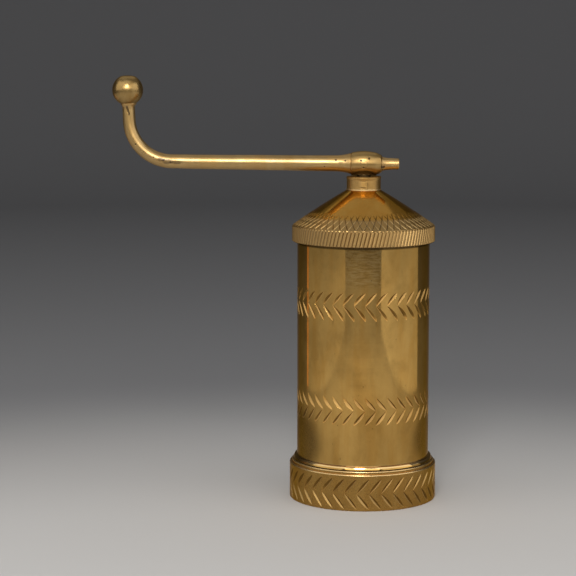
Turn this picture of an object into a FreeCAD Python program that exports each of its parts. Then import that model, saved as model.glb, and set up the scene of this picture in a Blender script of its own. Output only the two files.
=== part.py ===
"""Hand-cranked brass screw press for pressing dough through a perforated die.

Origin: centre of the base ring's underside. +Z runs up the barrel, and the crank arm lies along -X.
All sizes are in millimetres. The stack is built from the floor up: base ring, die, barrel, cap with its
spindle nut, and the crank whose screw spindle carries the piston.
"""
import FreeCAD, Part
import math
import os
import re

import Sketcher

Vector = FreeCAD.Vector

# Driving sizes, each written once: millimetres, and degrees where the name says so.
SIZES = {
    # base ring
    "ring_wall": 2.35,
    "ring_rim_height": 17.9,
    "ring_bead_height": 19.3,
    "ring_bead_wall": 1.2,
    "ring_edge_break": 0.6,
    "ring_lip_width": 6.3,
    "ring_lip_height": 4.0,
    "ring_mouth_chamfer": 1.2,
    "foot_chamfer": 0.4,
    # perforated die
    "die_thickness": 3.0,
    "die_edge_chamfer": 0.4,
    "die_side_clearance": 0.3,
    "die_hole_radius": 0.9,
    "die_row_margin": 5.9,
    # barrel
    "barrel_radius": 32.5,
    "barrel_wall": 3.0,
    "barrel_length": 126.0,
    "foot_thread_step": 1.0,
    "barrel_mouth_chamfer": 0.6,
    "collar_step": 1.8,
    "collar_height": 1.6,
    "collar_gap": 0.3,
    "thread_relief_height": 1.4,
    "thread_relief_depth": 0.9,
    "thread_side_clearance": 0.3,
    # cap
    "cap_grip_depth": 5.7,
    "cap_skirt_wall": 2.2,
    "cap_skirt_height": 7.8,
    "cap_skirt_edge": 0.5,
    "cap_cone_height": 17.3,
    "cap_cone_swell": 0.5,
    "cap_wall": 3.6,
    "crown_seat_margin": 1.0,
    "crown_bore_clearance": 0.03,
    # spindle nut
    "neck_radius": 8.3,
    "neck_height": 6.6,
    "neck_lip_step": 0.2,
    "neck_lip_height": 0.9,
    "flange_width": 3.35,
    "flange_thickness": 3.0,
    # spindle and its eye
    "spindle_radius": 5.6,
    "spindle_clearance": 0.08,
    "stem_step": 0.6,
    "stem_relief": 2.5,
    "spindle_end_chamfer": 0.8,
    "eye_gap": 0.3,
    "eye_radius": 5.85,
    "eye_shoulder_length": 5.8,
    "eye_shoulder_drop": 0.35,
    "eye_outer_length": 8.9,
    "eye_outer_rim": 0.65,
    "eye_arm_length": 6.3,
    "eye_arm_rim": 1.95,
    "spigot_radius": 4.0,
    "spigot_tip": 0.8,
    # crank arm
    "tenon_radius": 3.4,
    "tenon_clearance": 0.03,
    "tail_length": 8.4,
    "tail_waist_radius": 2.95,
    "tail_tip_radius": 2.75,
    "flare_step": 1.2,
    "flare_length": 8.0,
    "arm_root_radius": 3.95,
    "arm_bend_radius": 3.5,
    "arm_reach": 94.0,
    "arm_rise_degrees": 0.5,
    "bend_radius": 21.0,
    "bend_degrees": 87.0,
    "post_radius": 3.05,
    "post_length": 6.5,
    "post_collar_radius": 3.7,
    "post_collar_height": 2.0,
    "knob_tenon_radius": 2.2,
    "knob_tenon_length": 5.0,
    "pin_radius": 1.8,
    "pin_clearance": 0.03,
    # knob
    "knob_radius": 7.55,
    "knob_seat_radius": 3.9,
    "knob_crown_radius": 3.5,
    "knob_crown_rise": 0.42,
    "knob_hole_spare": 0.5,
    # piston
    "piston_gap": 1.6,
    "piston_side_clearance": 0.3,
    "piston_disc_thickness": 5.0,
    "piston_edge_break": 0.9,
    "boss_radius": 10.0,
    "boss_root_radius": 12.5,
    "boss_height": 7.0,
    "recess_margin": 1.2,
    "recess_depth": 6.2,
    "spigot_clearance": 0.08,
    # washer and nut under the piston
    "washer_radius": 7.4,
    "washer_thickness": 1.2,
    "nut_across_flats": 11.0,
    "nut_height": 3.8,
    "nut_edge_chamfer": 0.5,
}

DIE_ROW_COUNT = 3
FIRST_ROW_COUNT = 6

# Places that follow from the sizes above.
BARREL_FOOT = "(ring_lip_height + die_thickness)"
BARREL_BORE = "(barrel_radius - barrel_wall)"
FOOT_THREAD_RADIUS = "(barrel_radius + foot_thread_step)"
COLLAR_RADIUS = "(barrel_radius + collar_step)"
RING_BORE = f"({FOOT_THREAD_RADIUS} + thread_side_clearance)"
RING_RADIUS = f"({RING_BORE} + ring_wall)"
RING_LIP_RADIUS = f"({RING_BORE} - ring_lip_width)"
DIE_ROW_PITCH = f"(({RING_LIP_RADIUS} - die_row_margin) / {DIE_ROW_COUNT})"
COLLAR_FOOT = f"(ring_bead_height + collar_gap - {BARREL_FOOT})"
CAP_FOOT = f"({BARREL_FOOT} + barrel_length - cap_grip_depth)"
CAP_BORE = "(barrel_radius + thread_side_clearance)"
CROWN_TOP = "(cap_skirt_height + cap_cone_height)"
CONE_MIDDLE = f"(({CROWN_TOP} + cap_skirt_height + cap_skirt_edge / 2) / 2 + cap_cone_swell)"
CAP_RADIUS = f"({CAP_BORE} + cap_skirt_wall)"
CONE_FOOT_RADIUS = f"({CAP_RADIUS} - cap_skirt_edge)"
FLANGE_RADIUS = "(neck_radius + flange_width)"
CROWN_SEAT_RADIUS = f"({FLANGE_RADIUS} + crown_seat_margin)"
CONE_SLOPE = f"(cap_cone_height / ({CONE_FOOT_RADIUS} - neck_radius))"
CROWN_SEAT = f"({CROWN_TOP} - cap_wall - ({CROWN_SEAT_RADIUS} - neck_radius) * {CONE_SLOPE})"
HOLLOW_FOOT = f"({CROWN_TOP} - cap_wall - ({BARREL_BORE} - neck_radius) * {CONE_SLOPE})"
NECK_TOP = f"({CROWN_TOP} + neck_height)"
NECK_LIP_RADIUS = "(neck_radius + neck_lip_step)"
STEM_RADIUS = "(spindle_radius - stem_step)"
EYE_DROP = "(eye_radius + eye_gap)"
HUB_HEIGHT = f"({CAP_FOOT} + {NECK_TOP} + {EYE_DROP})"
PISTON_FOOT = f"({BARREL_FOOT} + piston_gap)"
PISTON_TOP = f"({PISTON_FOOT} + piston_disc_thickness + boss_height)"
RECESS_ROOF = f"({PISTON_FOOT} + recess_depth)"
RECESS_RADIUS = "(washer_radius + recess_margin)"
SPINDLE_DROP = f"({HUB_HEIGHT} - {PISTON_TOP})"
WASHER_SEAT = f"({RECESS_ROOF} - spigot_clearance)"
SPIGOT_END = f"({HUB_HEIGHT} - {WASHER_SEAT} + washer_thickness + nut_height + spigot_tip)"
BEND_END_REACH = "(arm_reach + bend_radius * sin(bend_degrees))"
BEND_END_RISE = "(bend_radius * (1 - cos(bend_degrees)))"
POST_TOP_REACH = f"({BEND_END_REACH} + post_length * cos(bend_degrees))"
POST_TOP_RISE = f"({BEND_END_RISE} + post_length * sin(bend_degrees))"
KNOB_REACH = f"({POST_TOP_REACH} + post_collar_height * cos(bend_degrees))"
KNOB_RISE = f"({POST_TOP_RISE} + post_collar_height * sin(bend_degrees))"
POST_LEAN = "(90 deg - bend_degrees)"

doc = FreeCAD.newDocument("ScrewPress")


def make_sheet():
    """Write every driving size into one spreadsheet cell with its own alias."""
    sheet = doc.addObject("Spreadsheet::Sheet", "Sizes")
    for row, (name, size) in enumerate(SIZES.items(), start=1):
        sheet.set(f"A{row}", name)
        sheet.set(f"B{row}", str(size))
        sheet.setAlias(f"B{row}", name)
    doc.recompute()
    return sheet


SHEET = make_sheet()


def bound(text):
    """Turn a formula of size names into an expression of sheet cells."""
    degrees = {"bend_degrees", "arm_rise_degrees"}

    def cell(match):
        name = match.group(0)
        if name not in SIZES:
            return name
        unit = " * 1 deg" if name in degrees else ""
        return f"(Sizes.{name}{unit})"

    return re.sub(r"[a-z][a-z_]+", cell, text)


def value(text):
    """The number that a formula of size names gives."""
    result = SHEET.evalExpression(bound(text))
    return float(getattr(result, "Value", result))


def shift_sketch(sketch, reach="0", rise="0", depth="0", turn=None, axis=Vector(0, 0, 1)):
    """Move a sketch within its plane, lift it off the plane, and turn it about an axis of its own."""
    if turn:
        sketch.AttachmentOffset = FreeCAD.Placement(Vector(0, 0, 0), FreeCAD.Rotation(axis, value(turn)))
        sketch.setExpression("AttachmentOffset.Rotation.Angle", bound(turn))
    for direction, formula in (("x", reach), ("y", rise), ("z", depth)):
        sketch.setExpression(f"AttachmentOffset.Base.{direction}", bound(formula))


def new_body(label, reach="0", rise="0", lean=None):
    """A body in the press's frame, shifted along X and Z and leaned back towards -X."""
    body = doc.addObject("PartDesign::Body", label)
    body.Label = label
    body.setExpression("Placement.Base.x", bound(reach))
    body.setExpression("Placement.Base.z", bound(rise))
    if lean:
        body.Placement = FreeCAD.Placement(Vector(0, 0, 0), FreeCAD.Rotation(Vector(0, -1, 0), value(lean)))
        body.setExpression("Placement.Rotation.Angle", bound(lean))
    return body


def origin_feature(body, role):
    """One of the body's own origin planes or axes."""
    return next(item for item in body.Origin.OriginFeatures if item.Role == role)


def new_sketch(body, name, role="XZ_Plane"):
    """A sketch on one of the body's origin planes."""
    sketch = body.newObject("Sketcher::SketchObject", name)
    sketch.AttachmentSupport = (origin_feature(body, role), [""])
    sketch.MapMode = "FlatFace"
    return sketch


def hold(sketch, kind, place, formula):
    """Add one distance constraint and bind it to its formula."""
    index = sketch.addConstraint(Sketcher.Constraint(kind, *place, value(formula)))
    sketch.setExpression(f"Constraints[{index}]", bound(formula))


def hold_point(sketch, geometry, end, corner):
    """Fix a point of the sketch by its two distances from the sketch's origin."""
    origin = (-1, 1)
    for kind, axis, formula in (("DistanceX", -2, corner[0]), ("DistanceY", -1, corner[1])):
        if formula == "0":
            sketch.addConstraint(Sketcher.Constraint("PointOnObject", geometry, end, axis))
        else:
            hold(sketch, kind, (*origin, geometry, end), formula)


def outline(sketch, corners):
    """Draw a closed outline through corners, each two formulas.

    A third entry in a corner is the point that an arc from the corner before passes through.
    """
    points = [Vector(value(corner[0]), value(corner[1]), 0) for corner in corners]
    edges = []
    for index, corner in enumerate(corners):
        start, end = points[index - 1], points[index]
        if len(corner) == 3:
            edges.append(add_arc(sketch, start, end, corner[2]))
        else:
            edges.append((sketch.addGeometry(Part.LineSegment(start, end), False), 1, 2))
    for index, (edge, _, last) in enumerate(edges):
        following, first, _ = edges[(index + 1) % len(edges)]
        sketch.addConstraint(Sketcher.Constraint("Coincident", edge, last, following, first))
        hold_point(sketch, edge, last, corners[index])
    return sketch


def add_arc(sketch, start, end, middle_corner):
    """Add an arc through a held point; gives its number and its first and last ends' numbers."""
    middle = Vector(value(middle_corner[0]), value(middle_corner[1]), 0)
    through = Part.Circle(start, middle, end)
    ring = Part.Circle(through.Center, Vector(0, 0, 1), through.Radius)
    anticlockwise = (middle - start).cross(end - middle).z > 0
    ends = (start, end) if anticlockwise else (end, start)
    angles = [math.atan2(point.y - ring.Center.y, point.x - ring.Center.x) for point in ends]
    edge = sketch.addGeometry(Part.ArcOfCircle(ring, *angles), False)
    guide = sketch.addGeometry(Part.Point(middle), True)
    hold_point(sketch, guide, 1, middle_corner)
    sketch.addConstraint(Sketcher.Constraint("PointOnObject", guide, 1, edge))
    return (edge, 1, 2) if anticlockwise else (edge, 2, 1)


def circle(sketch, reach, radius):
    """Draw a circle on the sketch's first axis."""
    centre = Vector(value(reach), 0, 0)
    sketch.addGeometry(Part.Circle(centre, Vector(0, 0, 1), value(radius)), False)
    hold_point(sketch, 0, 3, (reach, "0"))
    index = sketch.addConstraint(Sketcher.Constraint("Radius", 0, value(radius)))
    sketch.setExpression(f"Constraints[{index}]", bound(radius))
    return sketch


def revolve(body, name, corners, axis="V_Axis", plane="XZ_Plane", cut=False):
    """Turn an outline of one of the body's planes about one of the sketch's axes."""
    sketch = outline(new_sketch(body, name + "Profile", plane), corners)
    kind = "PartDesign::Groove" if cut else "PartDesign::Revolution"
    feature = body.newObject(kind, name)
    feature.Profile = sketch
    feature.ReferenceAxis = (sketch, [axis])
    feature.Angle = 360
    return feature


def drill(body, name, sketch):
    """Cut a sketch's circle right through the body, both ways."""
    before = doc.recompute() and body.Shape.Volume
    pocket = body.newObject("PartDesign::Pocket", name)
    pocket.Profile = sketch
    pocket.Type = "ThroughAll"
    pocket.Midplane = True
    doc.recompute()
    if pocket.Shape.Volume >= before:
        raise RuntimeError(f"{name} removes nothing from {body.Label}")
    return pocket


def make_base_ring():
    """The ring that screws on the barrel's foot and holds the die on its inner lip."""
    body = new_body("base_ring")
    bead_radius = f"({RING_BORE} + ring_bead_wall)"
    revolve(body, "Ring", [
        (RING_LIP_RADIUS, "0"),
        (f"{RING_RADIUS} - foot_chamfer", "0"),
        (RING_RADIUS, "foot_chamfer"),
        (RING_RADIUS, "ring_rim_height - ring_edge_break"),
        (f"{RING_RADIUS} - ring_edge_break", "ring_rim_height"),
        (bead_radius, "ring_rim_height"),
        (bead_radius, "ring_bead_height - ring_bead_wall / 3"),
        (f"{bead_radius} - ring_bead_wall / 3", "ring_bead_height"),
        (RING_BORE, "ring_bead_height"),
        (RING_BORE, "ring_lip_height"),
        (f"{RING_LIP_RADIUS} + ring_mouth_chamfer", "ring_lip_height"),
        (RING_LIP_RADIUS, "ring_lip_height - ring_mouth_chamfer"),
    ])
    return body


def make_die():
    """The perforated plate: a centre hole and rows of six, twelve and so on round it."""
    body = new_body("die", rise="ring_lip_height")
    rim = f"({RING_BORE} - die_side_clearance)"
    revolve(body, "Plate", [
        ("0", "0"),
        (f"{rim} - die_edge_chamfer", "0"),
        (rim, "die_edge_chamfer"),
        (rim, "die_thickness - die_edge_chamfer"),
        (f"{rim} - die_edge_chamfer", "die_thickness"),
        ("0", "die_thickness"),
    ])
    centre_sketch = circle(new_sketch(body, "CentreHoleSketch", "XY_Plane"), "0", "die_hole_radius")
    drill(body, "CentreHole", centre_sketch)
    for row in range(1, DIE_ROW_COUNT + 1):
        row_sketch = new_sketch(body, f"Row{row}Sketch", "XY_Plane")
        circle(row_sketch, f"{DIE_ROW_PITCH} * {row}", "die_hole_radius")
        hole = drill(body, f"Row{row}Hole", row_sketch)
        pattern = body.newObject("PartDesign::PolarPattern", f"Row{row}")
        pattern.Originals = [hole]
        pattern.Axis = (origin_feature(body, "Z_Axis"), [""])
        pattern.Angle = 360
        pattern.Occurrences = FIRST_ROW_COUNT * row
        body.Tip = pattern
    return body


def make_barrel():
    """The dough barrel: threaded foot, rounded collar that shows above the ring, and plain mouth."""
    body = new_body("barrel", rise=BARREL_FOOT)
    relief_radius = f"({FOOT_THREAD_RADIUS} - thread_relief_depth)"
    collar_top = f"({COLLAR_FOOT} + collar_height)"
    revolve(body, "Tube", [
        (BARREL_BORE, "0"),
        (f"{FOOT_THREAD_RADIUS} - barrel_mouth_chamfer", "0"),
        (FOOT_THREAD_RADIUS, "barrel_mouth_chamfer"),
        (FOOT_THREAD_RADIUS, f"{COLLAR_FOOT} - thread_relief_height"),
        (relief_radius, f"{COLLAR_FOOT} - thread_relief_height"),
        (relief_radius, COLLAR_FOOT),
        (COLLAR_RADIUS, COLLAR_FOOT),
        (COLLAR_RADIUS, f"{COLLAR_FOOT} + collar_height * 0.4"),
        (f"{COLLAR_RADIUS} - collar_step * 0.22", f"{COLLAR_FOOT} + collar_height * 0.85"),
        (f"{COLLAR_RADIUS} - collar_step * 0.53", collar_top),
        ("barrel_radius", collar_top),
        ("barrel_radius", "barrel_length - barrel_mouth_chamfer"),
        ("barrel_radius - barrel_mouth_chamfer", "barrel_length"),
        (f"{BARREL_BORE} + barrel_mouth_chamfer", "barrel_length"),
        (BARREL_BORE, "barrel_length - barrel_mouth_chamfer"),
    ])
    return body


def make_cap():
    """The screw cap: straight skirt, conical top and a hollow that follows the cone."""
    body = new_body("cap", rise=CAP_FOOT)
    crown_bore = "(neck_radius + crown_bore_clearance)"
    revolve(body, "Shell", [
        (CAP_BORE, "0"),
        (f"{CAP_RADIUS} - cap_skirt_edge / 2", "0"),
        (CAP_RADIUS, "cap_skirt_edge / 2"),
        (CAP_RADIUS, "cap_skirt_height"),
        (CONE_FOOT_RADIUS, "cap_skirt_height + cap_skirt_edge / 2"),
        (f"({CONE_FOOT_RADIUS} + {crown_bore}) / 2", CONE_MIDDLE),
        (crown_bore, CROWN_TOP),
        (crown_bore, CROWN_SEAT),
        (CROWN_SEAT_RADIUS, CROWN_SEAT),
        (BARREL_BORE, HOLLOW_FOOT),
        (BARREL_BORE, "cap_grip_depth"),
        (CAP_BORE, "cap_grip_depth"),
    ])
    return body


def make_spindle_nut():
    """The nut that passes up through the crown, with a flange under it and a turned neck above."""
    body = new_body("spindle_nut", rise=CAP_FOOT)
    bore = "(spindle_radius + spindle_clearance)"
    revolve(body, "Bush", [
        (bore, f"{CROWN_SEAT} - flange_thickness"),
        (FLANGE_RADIUS, f"{CROWN_SEAT} - flange_thickness"),
        (FLANGE_RADIUS, CROWN_SEAT),
        ("neck_radius", CROWN_SEAT),
        ("neck_radius", f"{NECK_TOP} - neck_lip_height"),
        (NECK_LIP_RADIUS, f"{NECK_TOP} - neck_lip_height / 2"),
        (NECK_LIP_RADIUS, NECK_TOP),
        (bore, NECK_TOP),
    ])
    return body


def make_spindle():
    """The screw spindle with its barrel-shaped eye, relieved stem and piston spigot."""
    body = new_body("spindle", rise=HUB_HEIGHT)
    relief_end = f"-({EYE_DROP} + stem_relief)"
    revolve(body, "Rod", [
        ("0", "0"),
        ("0", f"-{SPIGOT_END}"),
        ("spigot_radius - spindle_end_chamfer", f"-{SPIGOT_END}"),
        ("spigot_radius", f"-{SPIGOT_END} + spindle_end_chamfer"),
        ("spigot_radius", f"-{SPINDLE_DROP}"),
        ("spindle_radius - spindle_end_chamfer", f"-{SPINDLE_DROP}"),
        ("spindle_radius", f"-{SPINDLE_DROP} + spindle_end_chamfer"),
        ("spindle_radius", f"{relief_end} - stem_step"),
        (STEM_RADIUS, relief_end),
        (STEM_RADIUS, "0"),
    ])
    eye = revolve(body, "Eye", [
        ("-eye_arm_length", "0"),
        ("-eye_arm_length", "tenon_radius + eye_arm_rim"),
        ("eye_shoulder_length", "eye_radius - eye_shoulder_drop", ("0", "eye_radius")),
        ("eye_outer_length", "tenon_radius + eye_outer_rim"),
        ("eye_outer_length", "0"),
    ], axis="H_Axis")
    hole_radius = "(tenon_radius + tenon_clearance)"
    cut_end = "(eye_outer_length + eye_arm_length)"
    eye_hole = revolve(body, "EyeHole", [
        (f"-{cut_end}", "0"),
        (f"-{cut_end}", hole_radius),
        (cut_end, hole_radius),
        (cut_end, "0"),
    ], axis="H_Axis", cut=True)
    for feature in (eye, eye_hole):
        shift_sketch(feature.Profile[0], turn="arm_rise_degrees", axis=Vector(0, 0, -1))
    pin_sketch = circle(new_sketch(body, "PinHoleSketch"), "0", "pin_radius + pin_clearance")
    drill(body, "PinHole", pin_sketch)
    return body


def make_crank_arm():
    """The arm: tail, tenon through the eye, flare, tapered rod, swept bend and collared post.

    It is drawn with the rod along -X, and its placement raises the knob's end.
    """
    body = new_body("crank_arm", rise=HUB_HEIGHT)
    body.Placement = FreeCAD.Placement(
        Vector(0, 0, 0), FreeCAD.Rotation(Vector(0, 1, 0), value("arm_rise_degrees")))
    body.setExpression("Placement.Rotation.Angle", bound("arm_rise_degrees"))
    tail_tip = "(eye_outer_length + tail_length)"
    flare_end = "(eye_arm_length + flare_length)"
    revolve(body, "Rod", [
        (tail_tip, "0"),
        (tail_tip, "tail_tip_radius"),
        ("eye_outer_length", "tenon_radius", (
            "eye_outer_length + tail_length * 0.45", "tail_waist_radius")),
        ("-eye_arm_length", "tenon_radius"),
        ("-eye_arm_length", "arm_root_radius + flare_step"),
        (f"-{flare_end}", "arm_root_radius", (
            "-eye_arm_length - flare_length * 0.4",
            "arm_root_radius + flare_step * 0.42")),
        ("-arm_reach", "arm_bend_radius"),
        ("-arm_reach", "0"),
    ], axis="H_Axis")
    sweep_bend(body)
    collar = revolve(body, "PostCollar", [
        ("0", "0"),
        ("post_radius", "0"),
        ("post_collar_radius", "post_collar_height", (
            "post_radius + (post_collar_radius - post_radius) * 0.3", "post_collar_height * 0.5")),
        ("knob_tenon_radius", "post_collar_height"),
        ("knob_tenon_radius", "post_collar_height + knob_tenon_length"),
        ("0", "post_collar_height + knob_tenon_length"),
    ])
    shift_sketch(collar.Profile[0], f"-{POST_TOP_REACH}", POST_TOP_RISE, turn=POST_LEAN)
    pin_sketch = circle(new_sketch(body, "PinHoleSketch"), "0", "pin_radius + pin_clearance")
    drill(body, "PinHole", pin_sketch)
    return body


def sweep_bend(body):
    """Sweep the rod round its bend and up the post, from the arm's radius to the post's."""
    root = circle(new_sketch(body, "BendRoot", "YZ_Plane"), "0", "arm_bend_radius")
    shift_sketch(root, depth="-arm_reach")
    top = circle(new_sketch(body, "PostTop", "XY_Plane"), "0", "post_radius")
    shift_sketch(top, f"-{POST_TOP_REACH}", depth=POST_TOP_RISE, turn=POST_LEAN, axis=Vector(0, -1, 0))
    bend = body.newObject("PartDesign::AdditivePipe", "Bend")
    bend.Profile = root
    bend.Spine = (bend_spine(body), ["Edge1", "Edge2"])
    bend.Sections = [(top, [""])]
    bend.Transformation = "Multisection"
    return bend


def bend_spine(body):
    """The path of the bend: an arc that leaves the rod's axis, and the straight post."""
    spine = new_sketch(body, "BendSpine")
    start = Vector(value("-arm_reach"), 0, 0)
    centre = Vector(start.x, value("bend_radius"), 0)
    turned = Vector(-value(BEND_END_REACH), value(BEND_END_RISE), 0)
    finish = Vector(-value(POST_TOP_REACH), value(POST_TOP_RISE), 0)
    ring = Part.Circle(centre, Vector(0, 0, 1), centre.y)
    last_angle = -math.pi / 2
    first_angle = last_angle - math.radians(value("bend_degrees"))
    spine.addGeometry(Part.ArcOfCircle(ring, first_angle, last_angle), False)
    spine.addGeometry(Part.LineSegment(turned, finish), False)
    hold_point(spine, 0, 2, ("-arm_reach", "0"))
    hold_point(spine, 0, 3, ("-arm_reach", "bend_radius"))
    hold_point(spine, 1, 2, (f"-{POST_TOP_REACH}", POST_TOP_RISE))
    spine.addConstraint(Sketcher.Constraint("Tangent", 0, 1, 1, 1))
    doc.recompute()
    return spine


def make_arm_pin():
    """The flush cross-pin that holds the arm in the eye, its ends domed to the eye's radius."""
    body = new_body("arm_pin", rise=HUB_HEIGHT)
    shoulder = "sqrt(eye_radius ^ 2 - pin_radius ^ 2)"
    between = "sqrt(eye_radius ^ 2 - (pin_radius / 2) ^ 2)"
    revolve(body, "Pin", [
        ("0", "-eye_radius"),
        ("pin_radius", f"-{shoulder}", ("pin_radius / 2", f"-{between}")),
        ("pin_radius", shoulder),
        ("0", "eye_radius", ("pin_radius / 2", between)),
    ], plane="XY_Plane")
    return body


def make_knob():
    """The hand knob: a ball with a flattened crown, bored from below for the post's tenon."""
    climb = f"({KNOB_RISE} * cos(arm_rise_degrees) + {KNOB_REACH} * sin(arm_rise_degrees))"
    body = new_body(
        "knob",
        reach=f"{KNOB_RISE} * sin(arm_rise_degrees) - {KNOB_REACH} * cos(arm_rise_degrees)",
        rise=f"{HUB_HEIGHT} + {climb}",
        lean=f"{POST_LEAN} - arm_rise_degrees")
    hole_radius = "(knob_tenon_radius + tenon_clearance)"
    hole_depth = "(knob_tenon_length + knob_hole_spare)"
    middle = "sqrt(knob_radius ^ 2 - knob_seat_radius ^ 2)"
    crown = f"({middle} + sqrt(knob_radius ^ 2 - knob_crown_radius ^ 2))"
    crown_dome = "((knob_crown_radius ^ 2 + knob_crown_rise ^ 2) / (2 * knob_crown_rise))"
    crown_top = f"({crown} + knob_crown_rise)"
    revolve(body, "Ball", [
        (hole_radius, "0"),
        ("knob_seat_radius", "0"),
        ("knob_crown_radius", crown, ("knob_radius", middle)),
        ("0", crown_top, (
            "knob_crown_radius / 2",
            f"{crown_top} - {crown_dome} + sqrt({crown_dome} ^ 2 - (knob_crown_radius / 2) ^ 2)")),
        ("0", hole_depth),
        (hole_radius, hole_depth),
    ])
    return body


def make_piston():
    """The piston: a disc that slides in the barrel, a coned boss and a recess for the nut."""
    body = new_body("piston", rise=PISTON_FOOT)
    rim = f"({BARREL_BORE} - piston_side_clearance)"
    hole_radius = "(spigot_radius + spigot_clearance)"
    top = "(piston_disc_thickness + boss_height)"
    revolve(body, "Disc", [
        (RECESS_RADIUS, "0"),
        (f"{rim} - piston_edge_break", "0"),
        (rim, "piston_edge_break"),
        (rim, "piston_disc_thickness - piston_edge_break"),
        (f"{rim} - piston_edge_break", "piston_disc_thickness"),
        ("boss_root_radius", "piston_disc_thickness"),
        ("boss_radius", top),
        (hole_radius, top),
        (hole_radius, "recess_depth"),
        (RECESS_RADIUS, "recess_depth"),
    ])
    return body


def make_piston_washer():
    """The washer that bears on the roof of the piston's recess."""
    body = new_body("piston_washer", rise=f"{WASHER_SEAT} - washer_thickness")
    hole_radius = "(spigot_radius + tenon_clearance)"
    revolve(body, "Washer", [
        (hole_radius, "0"),
        ("washer_radius", "0"),
        ("washer_radius", "washer_thickness"),
        (hole_radius, "washer_thickness"),
    ])
    return body


def make_piston_nut():
    """The six-sided nut on the spigot, chamfered on its lower face."""
    body = new_body("piston_nut", rise=f"{WASHER_SEAT} - washer_thickness - nut_height")
    sketch = new_sketch(body, "HexagonSketch", "XY_Plane")
    outline(sketch, [
        (f"nut_across_flats / sqrt(3) * cos({60 * side} deg)",
         f"nut_across_flats / sqrt(3) * sin({60 * side} deg)") for side in range(6)])
    block = body.newObject("PartDesign::Pad", "Hexagon")
    block.Profile = sketch
    block.setExpression("Length", bound("nut_height"))
    corner = "(nut_across_flats / sqrt(3) + nut_edge_chamfer)"
    revolve(body, "Chamfer", [
        (corner, "-nut_edge_chamfer"),
        (corner, "nut_edge_chamfer"),
        (f"{corner} - 2 * nut_edge_chamfer - nut_edge_chamfer", "-nut_edge_chamfer"),
    ], cut=True)
    hole = circle(new_sketch(body, "HoleSketch", "XY_Plane"), "0", "spigot_radius + tenon_clearance")
    drill(body, "Hole", hole)
    return body


def check_document():
    """Stop if any object failed, or if a piece is not one valid solid."""
    doc.recompute()
    for item in doc.Objects:
        if {"Invalid", "Error"} & set(item.State):
            raise RuntimeError(f"{item.Label} is {item.State}")
    for body in PIECES:
        shape = body.Shape
        if shape.isNull() or not shape.isValid() or len(shape.Solids) != 1:
            raise RuntimeError(f"{body.Label} is not one valid solid")


def write_pieces():
    """Write each piece to its own STEP file, named by its label."""
    os.makedirs("parts", exist_ok=True)
    for body in PIECES:
        body.Shape.exportStep(f"parts/{body.Label}.step")
        box = body.Shape.BoundBox
        print(f"{body.Label}: {body.Shape.Volume:.1f} mm3, x {box.XMin:.2f} to {box.XMax:.2f}, "
              f"z {box.ZMin:.2f} to {box.ZMax:.2f}")


PIECES = [
    make_base_ring(),
    make_die(),
    make_barrel(),
    make_cap(),
    make_spindle_nut(),
    make_spindle(),
    make_crank_arm(),
    make_arm_pin(),
    make_knob(),
    make_piston(),
    make_piston_washer(),
    make_piston_nut(),
]
check_document()
write_pieces()
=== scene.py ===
"""Dress a hand-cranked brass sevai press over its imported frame.

The press stands on the origin: +Z runs up the barrel, the crank arm lies along -X and the front looks
along -Y. The sizes of the press are in millimetres, those of the studio in metres and turns in degrees,
and every mesh is written in metres. The main parts are the base ring, the barrel, the screw cap, the neck,
the spindle with its eye, the crank arm and the ball knob.
"""
import logging
import math
from dataclasses import dataclass, field, replace
from enum import Enum
from typing import Any, Mapping, Optional, Sequence, Union

import bmesh
import bpy
import numpy as np
from mathutils import Euler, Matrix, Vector, noise


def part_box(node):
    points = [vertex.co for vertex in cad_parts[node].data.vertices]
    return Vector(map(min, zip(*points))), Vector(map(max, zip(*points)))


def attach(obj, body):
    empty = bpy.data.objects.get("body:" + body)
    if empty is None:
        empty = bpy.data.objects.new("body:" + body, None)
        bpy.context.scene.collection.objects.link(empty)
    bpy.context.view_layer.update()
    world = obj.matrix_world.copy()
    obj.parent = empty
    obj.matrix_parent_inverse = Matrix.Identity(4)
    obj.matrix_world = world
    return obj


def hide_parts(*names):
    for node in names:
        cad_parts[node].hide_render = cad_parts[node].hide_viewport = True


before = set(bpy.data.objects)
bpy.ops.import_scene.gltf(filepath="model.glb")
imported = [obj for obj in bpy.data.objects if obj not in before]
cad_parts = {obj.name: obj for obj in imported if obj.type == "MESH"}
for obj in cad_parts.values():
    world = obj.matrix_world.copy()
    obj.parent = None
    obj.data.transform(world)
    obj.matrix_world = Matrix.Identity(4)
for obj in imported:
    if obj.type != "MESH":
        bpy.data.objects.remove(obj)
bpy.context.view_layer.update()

LOG = logging.getLogger("sevai_press")
MM = 0.001
TURN = 2.0 * math.pi
SHARP_ANGLE = math.radians(18.0)

Colour = tuple[float, float, float]
Place = tuple[float, float, float]
Ramp = tuple[float, float]


class Body(str, Enum):
    """The bodies of the press that the modelled pieces ride on."""

    BASE = "base"
    BARREL = "barrel"
    CAP = "cap"
    CRANK = "crank"


class Slot(str, Enum):
    """The finishes that the record names."""

    POLISHED = "polished_brass"
    CAST = "cast_brass"
    TURNED = "turned_brass"
    PIN = "pin_brass"


class Grain(Enum):
    """Which way the tool marks of a finish run."""

    ROUND_AXIS = "round the upright axis"
    NONE = "no direction"


# ---------------------------------------------------------------- shader maths


@dataclass(frozen=True)
class Cloud:
    """A noise pattern: its cycles a millimetre, its octaves, their strength and how far it is distorted."""

    scale: float
    detail: float = 3.0
    roughness: float = 0.55
    twist: float = 0.0


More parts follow.
